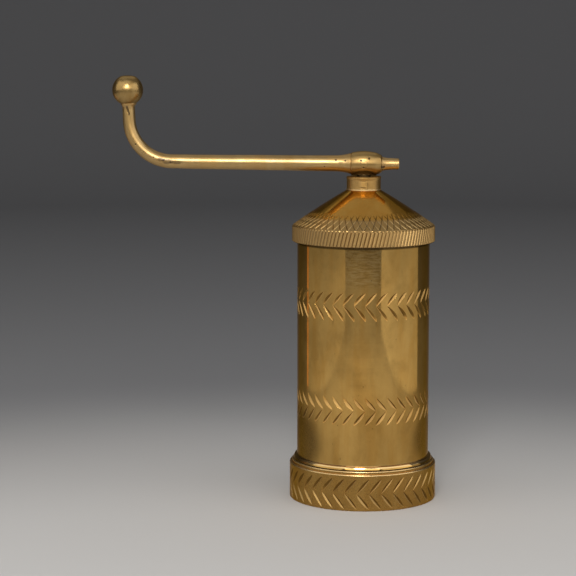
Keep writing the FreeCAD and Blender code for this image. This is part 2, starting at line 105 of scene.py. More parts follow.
class Signal:
    """A shader socket that takes part in arithmetic."""

    def __init__(self, shader: "Shader", socket: bpy.types.NodeSocket) -> None:
        """Wrap one output socket.

        Args:
            shader: the shader that the socket belongs to.
            socket: the output socket.
        """
        self.shader = shader
        self.socket = socket

    def _math(self, operation: str, first: Any, second: Any = None) -> "Signal":
        """Add one Math node.

        Args:
            operation: the node's operation.
            first: its first value or signal.
            second: its second value or signal, where it has one.

        Returns:
            The node's result.
        """
        values = {0: first} if second is None else {0: first, 1: second}
        return self.shader.make("ShaderNodeMath", {"operation": operation}, values)

    def __add__(self, other: Any) -> "Signal":
        """Give self + other."""
        return self._math("ADD", self, other)

    def __sub__(self, other: Any) -> "Signal":
        """Give self - other."""
        return self._math("SUBTRACT", self, other)

    def __mul__(self, other: Any) -> "Signal":
        """Give self * other."""
        return self._math("MULTIPLY", self, other)

    def smaller(self, other: Any) -> "Signal":
        """Give the smaller of self and other."""
        return self._math("MINIMUM", self, other)

    def absolute(self) -> "Signal":
        """Give self without its sign."""
        return self._math("ABSOLUTE", self)

    def step(self, low: float, high: float) -> "Signal":
        """Rise smoothly from 0 at low to 1 at high, or fall where low is the larger.

        Args:
            low: where the result is 0.
            high: where the result is 1.

        Returns:
            The eased mask.
        """
        settings = {"interpolation_type": "SMOOTHSTEP", "clamp": True}
        ends = (low, high, 0.0, 1.0) if low < high else (high, low, 1.0, 0.0)
        values = {0: self, 1: ends[0], 2: ends[1], 3: ends[2], 4: ends[3]}
        return self.shader.make("ShaderNodeMapRange", settings, values)


class Shader:
    """The node tree of one material."""

    def __init__(self, name: str) -> None:
        """Start an empty material.

        Args:
            name: the material's name.
        """
        self.material = bpy.data.materials.new(name)
        self.material.use_nodes = True
        self.tree = self.material.node_tree
        self.tree.nodes.clear()

    def make(self, kind: str, settings: Optional[Mapping[str, Any]] = None,
             values: Optional[Mapping[Any, Any]] = None, output: Union[int, str] = 0) -> Signal:
        """Add a node: its settings first, then its sockets.

        Args:
            kind: the node's type.
            settings: the node's own settings.
            values: values or signals by socket name or number.
            output: the socket to give back.

        Returns:
            The chosen output.
        """
        node = self.tree.nodes.new(kind)
        for key, setting in (settings or {}).items():
            setattr(node, key, setting)
        for key, given in (values or {}).items():
            socket = node.inputs[key]
            if isinstance(given, Signal):
                self.tree.links.new(given.socket, socket)
            elif isinstance(given, tuple) and len(given) == 3 and socket.type == "RGBA":
                socket.default_value = (*given, 1.0)
            else:
                socket.default_value = given
        return Signal(self, node.outputs[output])

    def place(self) -> Signal:
        """Give the object's own coordinates in millimetres."""
        own = self.make("ShaderNodeTexCoord", output="Object")
        return self.make("ShaderNodeVectorMath", {"operation": "SCALE"}, {0: own, "Scale": 1.0 / MM})

    def stretched(self, place: Signal, scales: Place, shift: Place = (0.0, 0.0, 0.0)) -> Signal:
        """Scale each axis of a place by its own number, then shift it.

        Args:
            place: the place signal.
            scales: one factor an axis.
            shift: what is added afterwards.

        Returns:
            The new place.
        """
        settings = {"operation": "MULTIPLY_ADD"}
        return self.make("ShaderNodeVectorMath", settings, {0: place, 1: scales, 2: shift})

    def shifted(self, place: Signal, shift: Place) -> Signal:
        """Move a place by a fixed step."""
        return self.stretched(place, (1.0, 1.0, 1.0), shift)

    def length(self, place: Signal) -> Signal:
        """Give how far a place lies from the origin."""
        return self.make("ShaderNodeVectorMath", {"operation": "LENGTH"}, {0: place}, "Value")

    def axes(self, place: Signal) -> tuple[Signal, Signal, Signal]:
        """Split a place into its three numbers."""
        node = self.make("ShaderNodeSeparateXYZ", values={0: place}).socket.node
        return tuple(Signal(self, node.outputs[index]) for index in range(3))

    def joined(self, x: Any, y: Any, z: Any) -> Signal:
        """Join three numbers to a place."""
        return self.make("ShaderNodeCombineXYZ", values={0: x, 1: y, 2: z})

    def clouds(self, place: Signal, cloud: Cloud) -> Signal:
        """Give fractal noise between about 0.2 and 0.8, read at a place."""
        values = {"Vector": place, "Scale": cloud.scale, "Detail": cloud.detail,
                  "Roughness": cloud.roughness, "Distortion": cloud.twist}
        return self.make("ShaderNodeTexNoise", None, values)

    def tint(self, factor: Any, first: Any, second: Any) -> Signal:
        """Mix two colours.

        Args:
            factor: 0 for the first colour, 1 for the second.
            first: the first colour or signal.
            second: the second colour or signal.

        Returns:
            The mixed colour.
        """
        settings = {"data_type": "RGBA", "clamp_factor": True}
        return self.make("ShaderNodeMix", settings, {0: factor, 6: first, 7: second}, output=2)

    def finish(self, values: Mapping[str, Any], height: Optional[Signal] = None) -> bpy.types.Material:
        """Close the tree with a Principled surface.

        Args:
            values: the surface's sockets.
            height: a bump height in millimetres, or nothing.

        Returns:
            The finished material.
        """
        sockets = dict(values)
        if height is not None:
            bump = {"Height": height, "Strength": 1.0, "Distance": MM}
            sockets["Normal"] = self.make("ShaderNodeBump", None, bump)
        surface = self.make("ShaderNodeBsdfPrincipled", None, sockets)
        output = self.tree.nodes.new("ShaderNodeOutputMaterial")
        self.tree.links.new(surface.socket, output.inputs["Surface"])
        return self.material


# ---------------------------------------------------------------- finishes


# The noise patterns of every finish.
PATCHES = Cloud(0.034, 5.0, 0.6, 0.6)
STAINS = Cloud(0.11, 6.0, 0.65, 0.4)
SPECKS = Cloud(0.9, 3.0, 0.6)
SMEARS = Cloud(1.0, 4.0, 0.6, 0.8)
RIPPLES = Cloud(0.07, 2.0)
TOOL_LINES = Cloud(1.0, 3.0, 0.6)
BUFFING = Cloud(1.0, 2.0, 0.5)
LEVELS = Cloud(0.45, 2.0)
CHATTER_LINES = Cloud(1.0, 5.0, 0.7)
MARK_EDGES = Cloud(1.3, 2.0)
NOISE_MIDDLE = 0.5

# How a place is stretched before a pattern is read there.
WANDER_STRETCH = (1.0, 1.0, 0.7)
SMEAR_STRETCH = (0.10, 0.10, 0.022)
FILE_STRETCH = (1.2, 1.2, 0.5)
LINES_A_RADIAN = 3.0
LINES_A_MILLIMETRE = 2.2
BUFFING_STRETCH = (0.06, 3.2, 3.2)
BUFFING_TURNS = ((0.3, 0.5, 0.2), (1.1, -0.6, 0.9), (-0.5, 1.3, 2.0))
BUFFING_SHIFT = 7.0
PITS_A_MILLIMETRE = 0.34

# Between which values of its noise a mask goes from 0 to 1.
PATCH_RAMP = (0.40, 0.66)
STAIN_RAMP = (0.44, 0.68)
SMEAR_RAMP = (0.40, 0.66)
DULL_SMEAR_RAMP = (0.5, 0.7)
SPECK_RAMP = (0.35, 0.7)
SCRATCH_RAMP = (0.66, 0.78)
PIT_RAMP = (0.10, 0.04)
PITTED_RAMP = (0.50, 0.60)

# How much of each mask reaches the colour, the roughness or the height in millimetres.
PATCH_SHARE = 0.6
STAIN_SHARE = 0.4
SMEAR_SHARE = 0.6
PIT_SHARE = 0.6
PIT_DEPTH = 0.05
SCRATCH_DEPTH = 0.004
SCRATCH_DULLNESS = 0.10
SMEAR_DULLNESS = 0.05
SPECK_DULLNESS = 0.05
CLEAN_POLISH = 0.02
ROUGHEST = 0.85
GRAIN_TURN = 0.25


@dataclass
class Layers:
    """A finish while it is built up, and the place in millimetres that it is read at."""

    shader: Shader
    place: Signal
    stains: Signal
    colour: Signal
    rough: Signal
    height: Signal

    def tint(self, mask: Signal, colour: Colour) -> None:
        """Lay a colour over the finish where the mask says so."""
        self.colour = self.shader.tint(mask, self.colour, colour)

    def dull(self, amount: Signal) -> None:
        """Make the finish rougher."""
        self.rough = self.rough + amount


@dataclass(frozen=True)
class Mark:
    """One pit, stain or ring left on a piece, or a patch of painted shade."""

    centre: Place
    radius: float
    depth: float = 0.25
    stain_and_shade: float = 0.85
    ring: bool = False
    squash: Place = (1.0, 1.0, 1.0)
    ragged: float = 0.5
    ragged_most: float = 1.0
    core: float = 0.45
    ring_ramp: Ramp = (0.22, 0.04)

    def mask(self, shader: Shader, place: Signal, edges: Signal) -> Signal:
        """Give where the mark lies.

        Args:
            shader: the material's tree.
            place: the place in millimetres.
            edges: the noise that makes its edge ragged.

        Returns:
            1 inside the mark and 0 outside it.
        """
        offset = shader.shifted(place, tuple(-value for value in self.centre))
        span = shader.length(shader.stretched(offset, self.squash))
        span = span + (edges - NOISE_MIDDLE) * min(self.ragged * self.radius, self.ragged_most)
        if self.ring:
            return (span - self.radius).absolute().step(*self.ring_ramp)
        return span.step(self.radius, self.radius * self.core)


@dataclass(frozen=True)
class Chatter:
    """A patch of fine level lines that the lathe left on the front of a round wall."""

    half_width: float
    low: float
    share: float
    depth: float
    stretch: Place = (0.22, 1.0, 1.25)
    side_fade: float = 0.6
    low_fade: float = 3.0
    front: Ramp = (0.0, -3.0)
    dark_ramp: Ramp = (0.48, 0.62)
    light_ramp: Ramp = (0.54, 0.40)


@dataclass(frozen=True)
class Engraving:
    """How the cuts of a piece look: their rims and sides, their valleys darkened partly by tarnish and partly
    as painted shade, a painted highlight on the sides that face up, painted shade on those that face down,
    the dirt in them, and painted shade in the cuts towards +X above a level where one is set.

    The ramps rim, side, valley, bottom and side_shade_cut are read on the depth of the cut, where 1 is full
    depth. The facing ramps highlight_facing and shade_facing are read on how far a face looks up, stained on
    the stains' noise, and side_shade_across on X in millimetres.
    """

    dullness: float = 0.16
    # How dark the valleys are made: partly tarnish left in the cuts and partly painted shade.
    shade: float = 0.3
    rim: Ramp = (0.0, 0.03)
    side: Ramp = (0.0, 0.12)
    valley: Ramp = (0.5, 1.0)
    bottom: Ramp = (0.75, 1.05)
    # Painted highlight on cut faces that look up and painted shade on those that look down.
    highlight_facing: Ramp = (0.03, 0.18)
    shade_facing: Ramp = (-0.03, -0.2)
    painted_highlight_share: float = 0.55
    painted_shade_share: float = 0.66
    painted_shade_colour: Colour = (0.085, 0.04, 0.004)
    stained: Ramp = (0.30, 0.6)
    stained_share: float = 0.6
    # Painted shade in the cuts towards +X above this level.
    side_shade_above: Optional[float] = None
    side_shade_rise: float = 0.3
    side_shade_across: Ramp = (-15.0, -3.0)
    side_shade_cut: Ramp = (0.05, 0.4)
    side_shade_share: float = 0.85


@dataclass(frozen=True)
class Brass:
    """A brass finish: its colours, how polished it is and how the hand and the lathe marked it.

    Some of its colour is painted shade and painted highlight: in the cuts, on rings and in some marks.
    """

    name: str
    bright: Colour = (0.65, 0.395, 0.115)
    warm: Colour = (0.58, 0.305, 0.065)
    dark: Colour = (0.26, 0.145, 0.035)
    # The light colour of fresh tool lines, also used as the painted highlight on cut sides that face up.
    fresh_and_highlight: Colour = (0.82, 0.60, 0.27)
    # The dark colour of dirt and pits, also used for painted shade and painted shadow.
    grime_and_shade: Colour = (0.05, 0.027, 0.01)
    # The colour of the painted highlight rings.
    highlight_ring_colour: Colour = (0.92, 0.64, 0.30)
    worked: Colour = (0.46, 0.33, 0.16)
    edge_tint: Colour = (0.80, 0.62, 0.40)
    polish: float = 0.17
    dullness: float = 0.14
    tarnish: float = 0.5
    scratches: float = 0.5
    grain: Grain = Grain.ROUND_AXIS
    grain_depth: float = 0.0012
    ripple: float = 0.04
    stretch: float = 0.0
    film: float = 0.0
    film_dullness: float = 0.3
    film_index: float = 1.5
    engraving: Optional[Engraving] = None
    turning: float = 0.0
    chatter: Optional[Chatter] = None
    dull_below: Optional[float] = None
    dull_fade: float = 0.7
    dull_share: float = 0.6
    dull_dullness: float = 0.18
    # Rings of painted shadow under overhanging edges, each a height and a reach.
    painted_shadow_rings: tuple[tuple[float, float], ...] = ()
    # Rings of painted highlight on rounded edges, each a height and a reach.
    painted_highlight_rings: tuple[tuple[float, float], ...] = ()
    ring_share: float = 0.85
    shadow_ring_core: float = 0.3
    highlight_ring_core: float = 0.5
    shadow_ring_dullness: float = 0.2
    mark_dullness: float = 0.3
    marks: tuple[Mark, ...] = ()
    seed: float = 0.0

    def _grain(self, shader: Shader, place: Signal) -> Signal:
        """Give the height of the fine lines that the lathe or the file left.

        Args:
            shader: the material's tree.
            place: the place in millimetres.

        Returns:
            Noise that is long along the tool's path and fine across it.
        """
        if self.grain is Grain.NONE:
            return shader.clouds(shader.stretched(place, FILE_STRETCH), TOOL_LINES)
        x, y, z = shader.axes(place)
        angle = shader.make("ShaderNodeMath", {"operation": "ARCTAN2"}, {0: y, 1: x})
        lines = shader.joined(angle * LINES_A_RADIAN, self.seed, z * LINES_A_MILLIMETRE)
        return shader.clouds(lines, TOOL_LINES)

    def _scratches(self, shader: Shader, place: Signal) -> Signal:
        """Give the mask of fine buffing scratches in three directions."""
        masks = []
        for index, turn in enumerate(BUFFING_TURNS):
            settings = {"rotation_type": "EULER_XYZ"}
            turned = shader.make("ShaderNodeVectorRotate", settings, {"Vector": place, "Rotation": turn})
            shift = (self.seed + index * BUFFING_SHIFT, 0.0, 0.0)
            long = shader.stretched(turned, BUFFING_STRETCH, shift)
            masks.append(shader.clouds(long, BUFFING).step(*SCRATCH_RAMP))
        return (masks[0] + masks[1] + masks[2]).smaller(1.0)

    def _ground(self, shader: Shader) -> Layers:
        """Lay down the brass with its stains, smears, pits, scratches and fine lines.

        Args:
            shader: the material's tree.

        Returns:
            The first layers of the finish.
        """
        place = shader.place()
        wander = shader.stretched(place, WANDER_STRETCH, (self.seed, self.seed * 2.0, -self.seed))
        stains = shader.clouds(wander, STAINS)
        smears = shader.clouds(shader.stretched(wander, SMEAR_STRETCH), SMEARS)
        scratches = self._scratches(shader, place)
        cells = {"Vector": wander, "Scale": PITS_A_MILLIMETRE, "Randomness": 1.0}
        pits = shader.make("ShaderNodeTexVoronoi", {"feature": "F1"}, cells, "Distance")
        pits = pits.step(*PIT_RAMP) * stains.step(*PITTED_RAMP)

        dirt = shader.clouds(wander, PATCHES).step(*PATCH_RAMP) * PATCH_SHARE
        dirt = (dirt + stains.step(*STAIN_RAMP) * STAIN_SHARE) * self.tarnish
        colour = shader.tint(smears.step(*SMEAR_RAMP) * SMEAR_SHARE, self.bright, self.warm)
        colour = shader.tint(dirt, colour, self.dark)
        colour = shader.tint(pits * PIT_SHARE, colour, self.grime_and_shade)
        specks = shader.clouds(wander, SPECKS).step(*SPECK_RAMP) * SPECK_DULLNESS
        rough = dirt * self.dullness + specks + (self.polish - CLEAN_POLISH)
        rough = rough + scratches * (SCRATCH_DULLNESS * self.scratches)
        rough = rough + smears.step(*DULL_SMEAR_RAMP) * SMEAR_DULLNESS
        height = (self._grain(shader, place) - NOISE_MIDDLE) * self.grain_depth
        height = height - scratches * (SCRATCH_DEPTH * self.scratches) - pits * PIT_DEPTH
        height = height + (shader.clouds(wander, RIPPLES) - NOISE_MIDDLE) * self.ripple
        return Layers(shader, place, stains, colour, rough, height)

    def _turn_levels(self, layers: Layers) -> None:
        """Add the level steps of the lathe's tool, which are the same all round."""
        shader = layers.shader
        level = shader.joined(self.seed, 0.0, shader.axes(layers.place)[2])
        layers.height = layers.height + (shader.clouds(level, LEVELS) - NOISE_MIDDLE) * self.turning

    def _chatter(self, layers: Layers, patch: Chatter) -> None:
        """Add the patch of level lines that the lathe's tool chattered into the front.

        Args:
            layers: the finish so far.
            patch: where the lines lie and how strong they are.
        """
        shader = layers.shader
        x, y, z = shader.axes(layers.place)
        lines = shader.clouds(shader.stretched(layers.place, patch.stretch), CHATTER_LINES)
        inside = x.absolute().step(patch.half_width, patch.half_width - patch.side_fade)
        inside = inside * y.step(*patch.front)
        inside = inside * z.step(patch.low - patch.low_fade, patch.low + patch.low_fade)
        layers.tint(lines.step(*patch.dark_ramp) * inside * patch.share, self.dark)
        layers.tint(lines.step(*patch.light_ramp) * inside * patch.share, self.fresh_and_highlight)
        layers.height = layers.height + (lines - NOISE_MIDDLE) * inside * patch.depth

    def _engrave(self, layers: Layers, look: Engraving) -> None:
        """Paint the cuts: tarnish and painted shade in the valleys, a painted highlight on sides facing up,
        painted shade on sides facing down, the dirt in them, and painted shade towards +X above a set level.

        Args:
            layers: the finish so far.
            look: how the cuts look.
        """
        shader = layers.shader
        cut = shader.make("ShaderNodeAttribute", {"attribute_name": "cut"}, None, "Fac")
        facing = shader.axes(shader.make("ShaderNodeNewGeometry", output="True Normal"))[2]
        # Painted shade on cut sides that face down and painted highlight on those that face up.
        under = cut.step(*look.side) * facing.step(*look.shade_facing)
        over = cut.step(*look.side) * facing.step(*look.highlight_facing)
        # The valleys darken partly as tarnish left in the cuts and partly as painted shade.
        layers.tint(cut.step(*look.valley) * look.shade, self.dark)
        layers.tint(over * (look.painted_highlight_share * (1.0 - look.shade)), self.fresh_and_highlight)
        layers.tint(under * look.painted_shade_share, look.painted_shade_colour)
        stained = cut.step(*look.bottom) * layers.stains.step(*look.stained)
        layers.tint(stained * look.stained_share, self.grime_and_shade)
        layers.dull(cut.step(*look.rim) * look.dullness)
        # Painted shade in the cuts towards +X above a level.
        if look.side_shade_above is not None:
            across, _, level = shader.axes(layers.place)
            side_shade = cut.step(*look.side_shade_cut) * across.step(*look.side_shade_across)
            side_shade = side_shade * level.step(look.side_shade_above, look.side_shade_above + look.side_shade_rise)
            layers.tint(side_shade * look.side_shade_share, self.grime_and_shade)

    def _work(self, layers: Layers, top: float) -> None:
        """Dull the part below a level that the hand grips."""
        worked = layers.shader.axes(layers.place)[2].step(top + self.dull_fade, top - self.dull_fade)
        layers.tint(worked * self.dull_share, self.worked)
        layers.dull(worked * self.dull_dullness)

    def _rings(self, layers: Layers) -> None:
        """Add rings of painted highlight on rounded edges and rings of painted shadow under overhanging
        edges.
        """
        # Rings of painted highlight.
        for level, reach in self.painted_highlight_rings:
            off = (layers.shader.axes(layers.place)[2] - level).absolute()
            layers.tint(off.step(reach, reach * self.highlight_ring_core) * self.ring_share, self.highlight_ring_colour)
        # Rings of painted shadow.
        for level, reach in self.painted_shadow_rings:
            off = (layers.shader.axes(layers.place)[2] - level).absolute()
            layers.tint(off.step(reach, reach * self.shadow_ring_core) * self.ring_share, self.grime_and_shade)
            layers.dull(off.step(reach, 0.0) * self.shadow_ring_dullness)

    def _leave_marks(self, layers: Layers) -> None:
        """Add the piece's own pits and stains, and its patches of painted shade."""
        dark: Any = 0.0
        depth: Any = 0.0
        edges = layers.shader.clouds(layers.place, MARK_EDGES)
        for mark in self.marks:
            here = mark.mask(layers.shader, layers.place, edges)
            dark = here * mark.stain_and_shade + dark
            depth = here * mark.depth + depth
        layers.tint(dark, self.grime_and_shade)
        layers.dull(dark * self.mark_dullness)
        layers.height = layers.height - depth

    def material(self) -> bpy.types.Material:
        """Build the finish as a material.

        Returns:
            The material.
        """
        shader = Shader(self.name)
        layers = self._ground(shader)
        if self.turning:
            self._turn_levels(layers)
        if self.chatter is not None:
            self._chatter(layers, self.chatter)
        if self.engraving is not None:
            self._engrave(layers, self.engraving)
        if self.dull_below is not None:
            self._work(layers, self.dull_below)
        self._rings(layers)
        if self.marks:
            self._leave_marks(layers)
        sockets = {"Base Color": layers.colour, "Metallic": 1.0, "Roughness": layers.rough.smaller(ROUGHEST),
                   "Anisotropic": self.stretch, "Anisotropic Rotation": GRAIN_TURN,
                   "Specular Tint": self.edge_tint, "Coat Weight": self.film,
                   "Coat Roughness": self.film_dullness, "Coat IOR": self.film_index}
        return shader.finish(sockets, layers.height)


# ---------------------------------------------------------------- mesh making


# How near, in millimetres, sectors join, doubles lie, and a point counts as on a level or a wall.
SEAM = 0.002
DOUBLES = 0.0005
LEVEL_ERROR = 0.01
WALL_ERROR = 0.05

NEARLY = 1e-9
EDGE_STEP_DEGREES = 15


def round_place(angle: float, radius: float, height: float) -> Place:
    """Give a place by its angle from the front towards +X, in radians."""
    return radius * math.sin(angle), -radius * math.cos(angle), height


class Draft:
    """The points and faces of one piece while it is drawn, in millimetres."""

    def __init__(self) -> None:
        """Start empty."""
        self.points: list[Place] = []
        self.cuts: list[float] = []
        self.faces: list[tuple[int, ...]] = []

    def point(self, place: Place, cut: float = 0.0) -> int:
        """Add one point and give its number."""
        self.points.append(place)
        self.cuts.append(cut)
        return len(self.points) - 1

    def polar(self, angle: float, radius: float, height: float, cut: float = 0.0) -> int:
        """Add a point by its angle, radius and height, and give its number."""
        return self.point(round_place(angle, radius, height), cut)

    def strip(self, lower: Sequence[int], upper: Sequence[int]) -> None:
        """Join two rows of points; where one has twice the spaces of the other, by pentagons."""
        if len(lower) == len(upper):
            for index in range(len(lower) - 1):
                self.faces.append((lower[index], lower[index + 1], upper[index + 1], upper[index]))
            return
        fine, coarse = (lower, upper) if len(lower) > len(upper) else (upper, lower)
        ratio = (len(fine) - 1) // (len(coarse) - 1)
        for index in range(len(coarse) - 1):
            edge = tuple(fine[index * ratio:(index + 1) * ratio + 1])
            self.faces.append(edge + (coarse[index + 1], coarse[index]))

    def rings(self, rings: Sequence[Sequence[int]]) -> None:
        """Join closed rings of points one after another.

        Args:
            rings: rings of equal length; a ring of one point is a pole.
        """
        for lower, upper in zip(rings, rings[1:]):
            count = max(len(lower), len(upper))
            for index in range(count):
                following = (index + 1) % count
                if len(lower) == 1:
                    self.faces.append((lower[0], upper[following], upper[index]))
                elif len(upper) == 1:
                    self.faces.append((lower[index], lower[following], upper[0]))
                else:
                    self.faces.append((lower[index], lower[following], upper[following], upper[index]))

    def mesh(self, name: str) -> bpy.types.Mesh:
        """Write the draft as a mesh in metres with its "cut" attribute."""
        mesh = bpy.data.meshes.new(name)
        mesh.from_pydata([tuple(value * MM for value in place) for place in self.points], [], self.faces)
        attribute = mesh.attributes.new("cut", "FLOAT", "POINT")
        attribute.data.foreach_set("value", self.cuts)
        return mesh


@dataclass
class SheetOfPoints:
    """The points of a round mesh as arrays that can be moved together, in millimetres."""

    mesh: bpy.types.Mesh
    angle: np.ndarray = field(init=False)
    radius: np.ndarray = field(init=False)
    height: np.ndarray = field(init=False)
    cut: np.ndarray = field(init=False)

    def __post_init__(self) -> None:
        """Read the mesh."""
        count = len(self.mesh.vertices)
        flat = np.empty(count * 3)
        self.mesh.vertices.foreach_get("co", flat)
        places = flat.reshape(-1, 3) / MM
        self.cut = np.empty(count)
        self.mesh.attributes["cut"].data.foreach_get("value", self.cut)
        self.angle = np.arctan2(places[:, 0], -places[:, 1])
        self.radius = np.hypot(places[:, 0], places[:, 1])
        self.height = places[:, 2].copy()

    def write(self) -> None:
        """Put the moved points back."""
        x, y = self.radius * np.sin(self.angle), -self.radius * np.cos(self.angle)
        places = np.stack([x, y, self.height], axis=1) * MM
        self.mesh.vertices.foreach_set("co", places.ravel())
        self.mesh.attributes["cut"].data.foreach_set("value", self.cut)
        self.mesh.update()


class GeometryTree:
    """A Geometry Nodes tree with named inputs, run once and turned into a plain mesh."""

    def __init__(self, name: str, inputs: Mapping[str, str]) -> None:
        """Start a tree.

        Args:
            name: the tree's name.
            inputs: its inputs' names and socket types.
        """
        self.tree = bpy.data.node_groups.new(name, "GeometryNodeTree")
        self.tree.interface.new_socket("Geometry", in_out="INPUT", socket_type="NodeSocketGeometry")
        self.identifiers = {}
        for label, kind in {**inputs, "Material": "NodeSocketMaterial"}.items():
            socket = self.tree.interface.new_socket(label, in_out="INPUT", socket_type=kind)
            self.identifiers[label] = socket.identifier
        self.tree.interface.new_socket("Geometry", in_out="OUTPUT", socket_type="NodeSocketGeometry")
        self.entry = self.tree.nodes.new("NodeGroupInput")

    def add(self, kind: str, settings: Optional[Mapping[str, Any]] = None, **links: Any) -> bpy.types.Node:
        """Add a node.

        Args:
            kind: the node's type.
            settings: the node's own settings.
            links: values or output sockets by input name, spaces written as underscores.

        Returns:
            The node.
        """
        node = self.tree.nodes.new(kind)
        for key, setting in (settings or {}).items():
            setattr(node, key, setting)
        for key, given in links.items():
            names = {socket.name: socket for socket in reversed(node.inputs) if socket.enabled}
            socket = names[key.replace("_", " ")]
            if isinstance(given, bpy.types.NodeSocket):
                self.tree.links.new(given, socket)
            else:
                socket.default_value = given
        return node

    def close(self, geometry: bpy.types.NodeSocket, joined: bool) -> None:
        """End the tree: realize the copies, join what touches and set the material.

        Args:
            geometry: the geometry before the end.
            joined: whether points that touch are joined.
        """
        last = self.add("GeometryNodeRealizeInstances", Geometry=geometry).outputs[0]
        if joined:
            last = self.add("GeometryNodeMergeByDistance", Geometry=last,
                            Distance=self.entry.outputs["Join Distance"]).outputs[0]
        dressed = self.add("GeometryNodeSetMaterial", Geometry=last, Material=self.entry.outputs["Material"])
        output = self.tree.nodes.new("NodeGroupOutput")
        self.tree.links.new(dressed.outputs[0], output.inputs[0])

    def run(self, source: bpy.types.Mesh, values: Mapping[str, Any]) -> bpy.types.Mesh:
        """Run the tree on a mesh.

        Args:
            source: the mesh that enters the tree.
            values: the inputs' values by name.

        Returns:
            The plain result.
        """
        carrier = bpy.data.objects.new("carrier", source)
        bpy.context.scene.collection.objects.link(carrier)
        modifier = carrier.modifiers.new("Tree", "NODES")
        modifier.node_group = self.tree
        for label, given in values.items():
            modifier[self.identifiers[label]] = given
        bpy.context.view_layer.update()
        graph = bpy.context.evaluated_depsgraph_get()
        result = bpy.data.meshes.new_from_object(carrier.evaluated_get(graph))
        bpy.data.objects.remove(carrier, do_unlink=True)
        return result


class RingArray(GeometryTree):
    """Copies one sector of a piece round the upright axis and joins the copies."""

    def __init__(self) -> None:
        """Build the tree."""
        super().__init__("Ring array", {"Count": "NodeSocketInt", "Join Distance": "NodeSocketFloat"})
        centres = self.add("GeometryNodePoints", Count=self.entry.outputs["Count"])
        index = self.add("GeometryNodeInputIndex")
        share = self.add("ShaderNodeMath", {"operation": "DIVIDE"})
        self.tree.links.new(index.outputs[0], share.inputs[0])
        self.tree.links.new(self.entry.outputs["Count"], share.inputs[1])
        angle = self.add("ShaderNodeMath", {"operation": "MULTIPLY"})
        self.tree.links.new(share.outputs[0], angle.inputs[0])
        angle.inputs[1].default_value = TURN
        turn = self.add("ShaderNodeCombineXYZ", Z=angle.outputs[0])
        copies = self.add("GeometryNodeInstanceOnPoints", Points=centres.outputs[0],
                          Instance=self.entry.outputs["Geometry"], Rotation=turn.outputs[0])
        self.close(copies.outputs[0], joined=True)

    def repeat(self, sector: Draft, name: str, count: int) -> bpy.types.Mesh:
        """Repeat a sector round the axis.

        Args:
            sector: the drawn sector.
            name: the mesh's name.
            count: how many sectors make the turn.

        Returns:
            The whole round piece.
        """
        values = {"Count": count, "Join Distance": SEAM * MM}
        mesh = self.run(sector.mesh(name + "_sector"), values)
        mesh.name = name
        return mesh


class ScrewThread(GeometryTree):
    """Sweeps a thread's section along a helix."""

    def __init__(self) -> None:
        """Build the tree."""
        inputs = {"Turns": "NodeSocketFloat", "Radius": "NodeSocketFloat", "Length": "NodeSocketFloat",
                  "Steps A Turn": "NodeSocketInt"}
        super().__init__("Screw thread", inputs)
        entry = self.entry.outputs
        helix = self.add("GeometryNodeCurveSpiral", Resolution=entry["Steps A Turn"],
                         Rotations=entry["Turns"], Start_Radius=entry["Radius"],
                         End_Radius=entry["Radius"], Height=entry["Length"])
        upright = self.add("GeometryNodeSetCurveNormal", {"mode": "Z_UP"}, Curve=helix.outputs[0])
        section = self.add("GeometryNodeMeshToCurve", Mesh=entry["Geometry"])
        swept = self.add("GeometryNodeCurveToMesh", Curve=upright.outputs[0],
                         Profile_Curve=section.outputs[0], Fill_Caps=True)
        self.close(swept.outputs[0], joined=False)


def tidy_mesh(mesh: bpy.types.Mesh) -> None:
    """Join double points, turn the faces outwards and shade the mesh smooth between its edges."""
    sculpt = bmesh.new()
    sculpt.from_mesh(mesh)
    bmesh.ops.remove_doubles(sculpt, verts=sculpt.verts, dist=DOUBLES * MM)
    bmesh.ops.recalc_face_normals(sculpt, faces=sculpt.faces)
    loose = sum(1 for edge in sculpt.edges if not edge.is_manifold)
    if loose:
        LOG.warning("%s has %d open edges", mesh.name, loose)
    sculpt.to_mesh(mesh)
    sculpt.free()
    mesh.shade_smooth()
    mesh.set_sharp_from_angle(angle=SHARP_ANGLE)


@dataclass(frozen=True)
class Wave:
    """Unevenness left by a hand: its height in millimetres, its cycles a millimetre and its seed."""

    height: float
    scale: float
    seed: float

    def at(self, place: Sequence[float]) -> float:
        """Give the unevenness at a place in millimetres."""
        x, y, z = (value * self.scale for value in place)
        return self.height * noise.noise(Vector((x + self.seed, y - self.seed, z)))


@dataclass
class Piece:
    """What a sub-assembly hands over: its mesh and how it belongs to the press."""

    name: str
    mesh: bpy.types.Mesh
    body: Body
    slot: Slot
    nodes: tuple[str, ...]

    def place(self, finish: Brass) -> bpy.types.Object:
        """Put the piece in the scene.

        Args:
            finish: the brass that it wears.

        Returns:
            The new object.
        """
        self.mesh.materials.clear()
        self.mesh.materials.append(finish.material())
        piece = bpy.data.objects.new(self.name, self.mesh)
        bpy.context.scene.collection.objects.link(piece)
        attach(piece, self.body.value)
        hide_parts(*self.nodes)
        LOG.info("%s: %d faces, rides on %s", self.name, len(self.mesh.polygons), self.body.value)
        return piece


# ---------------------------------------------------------------- engraving


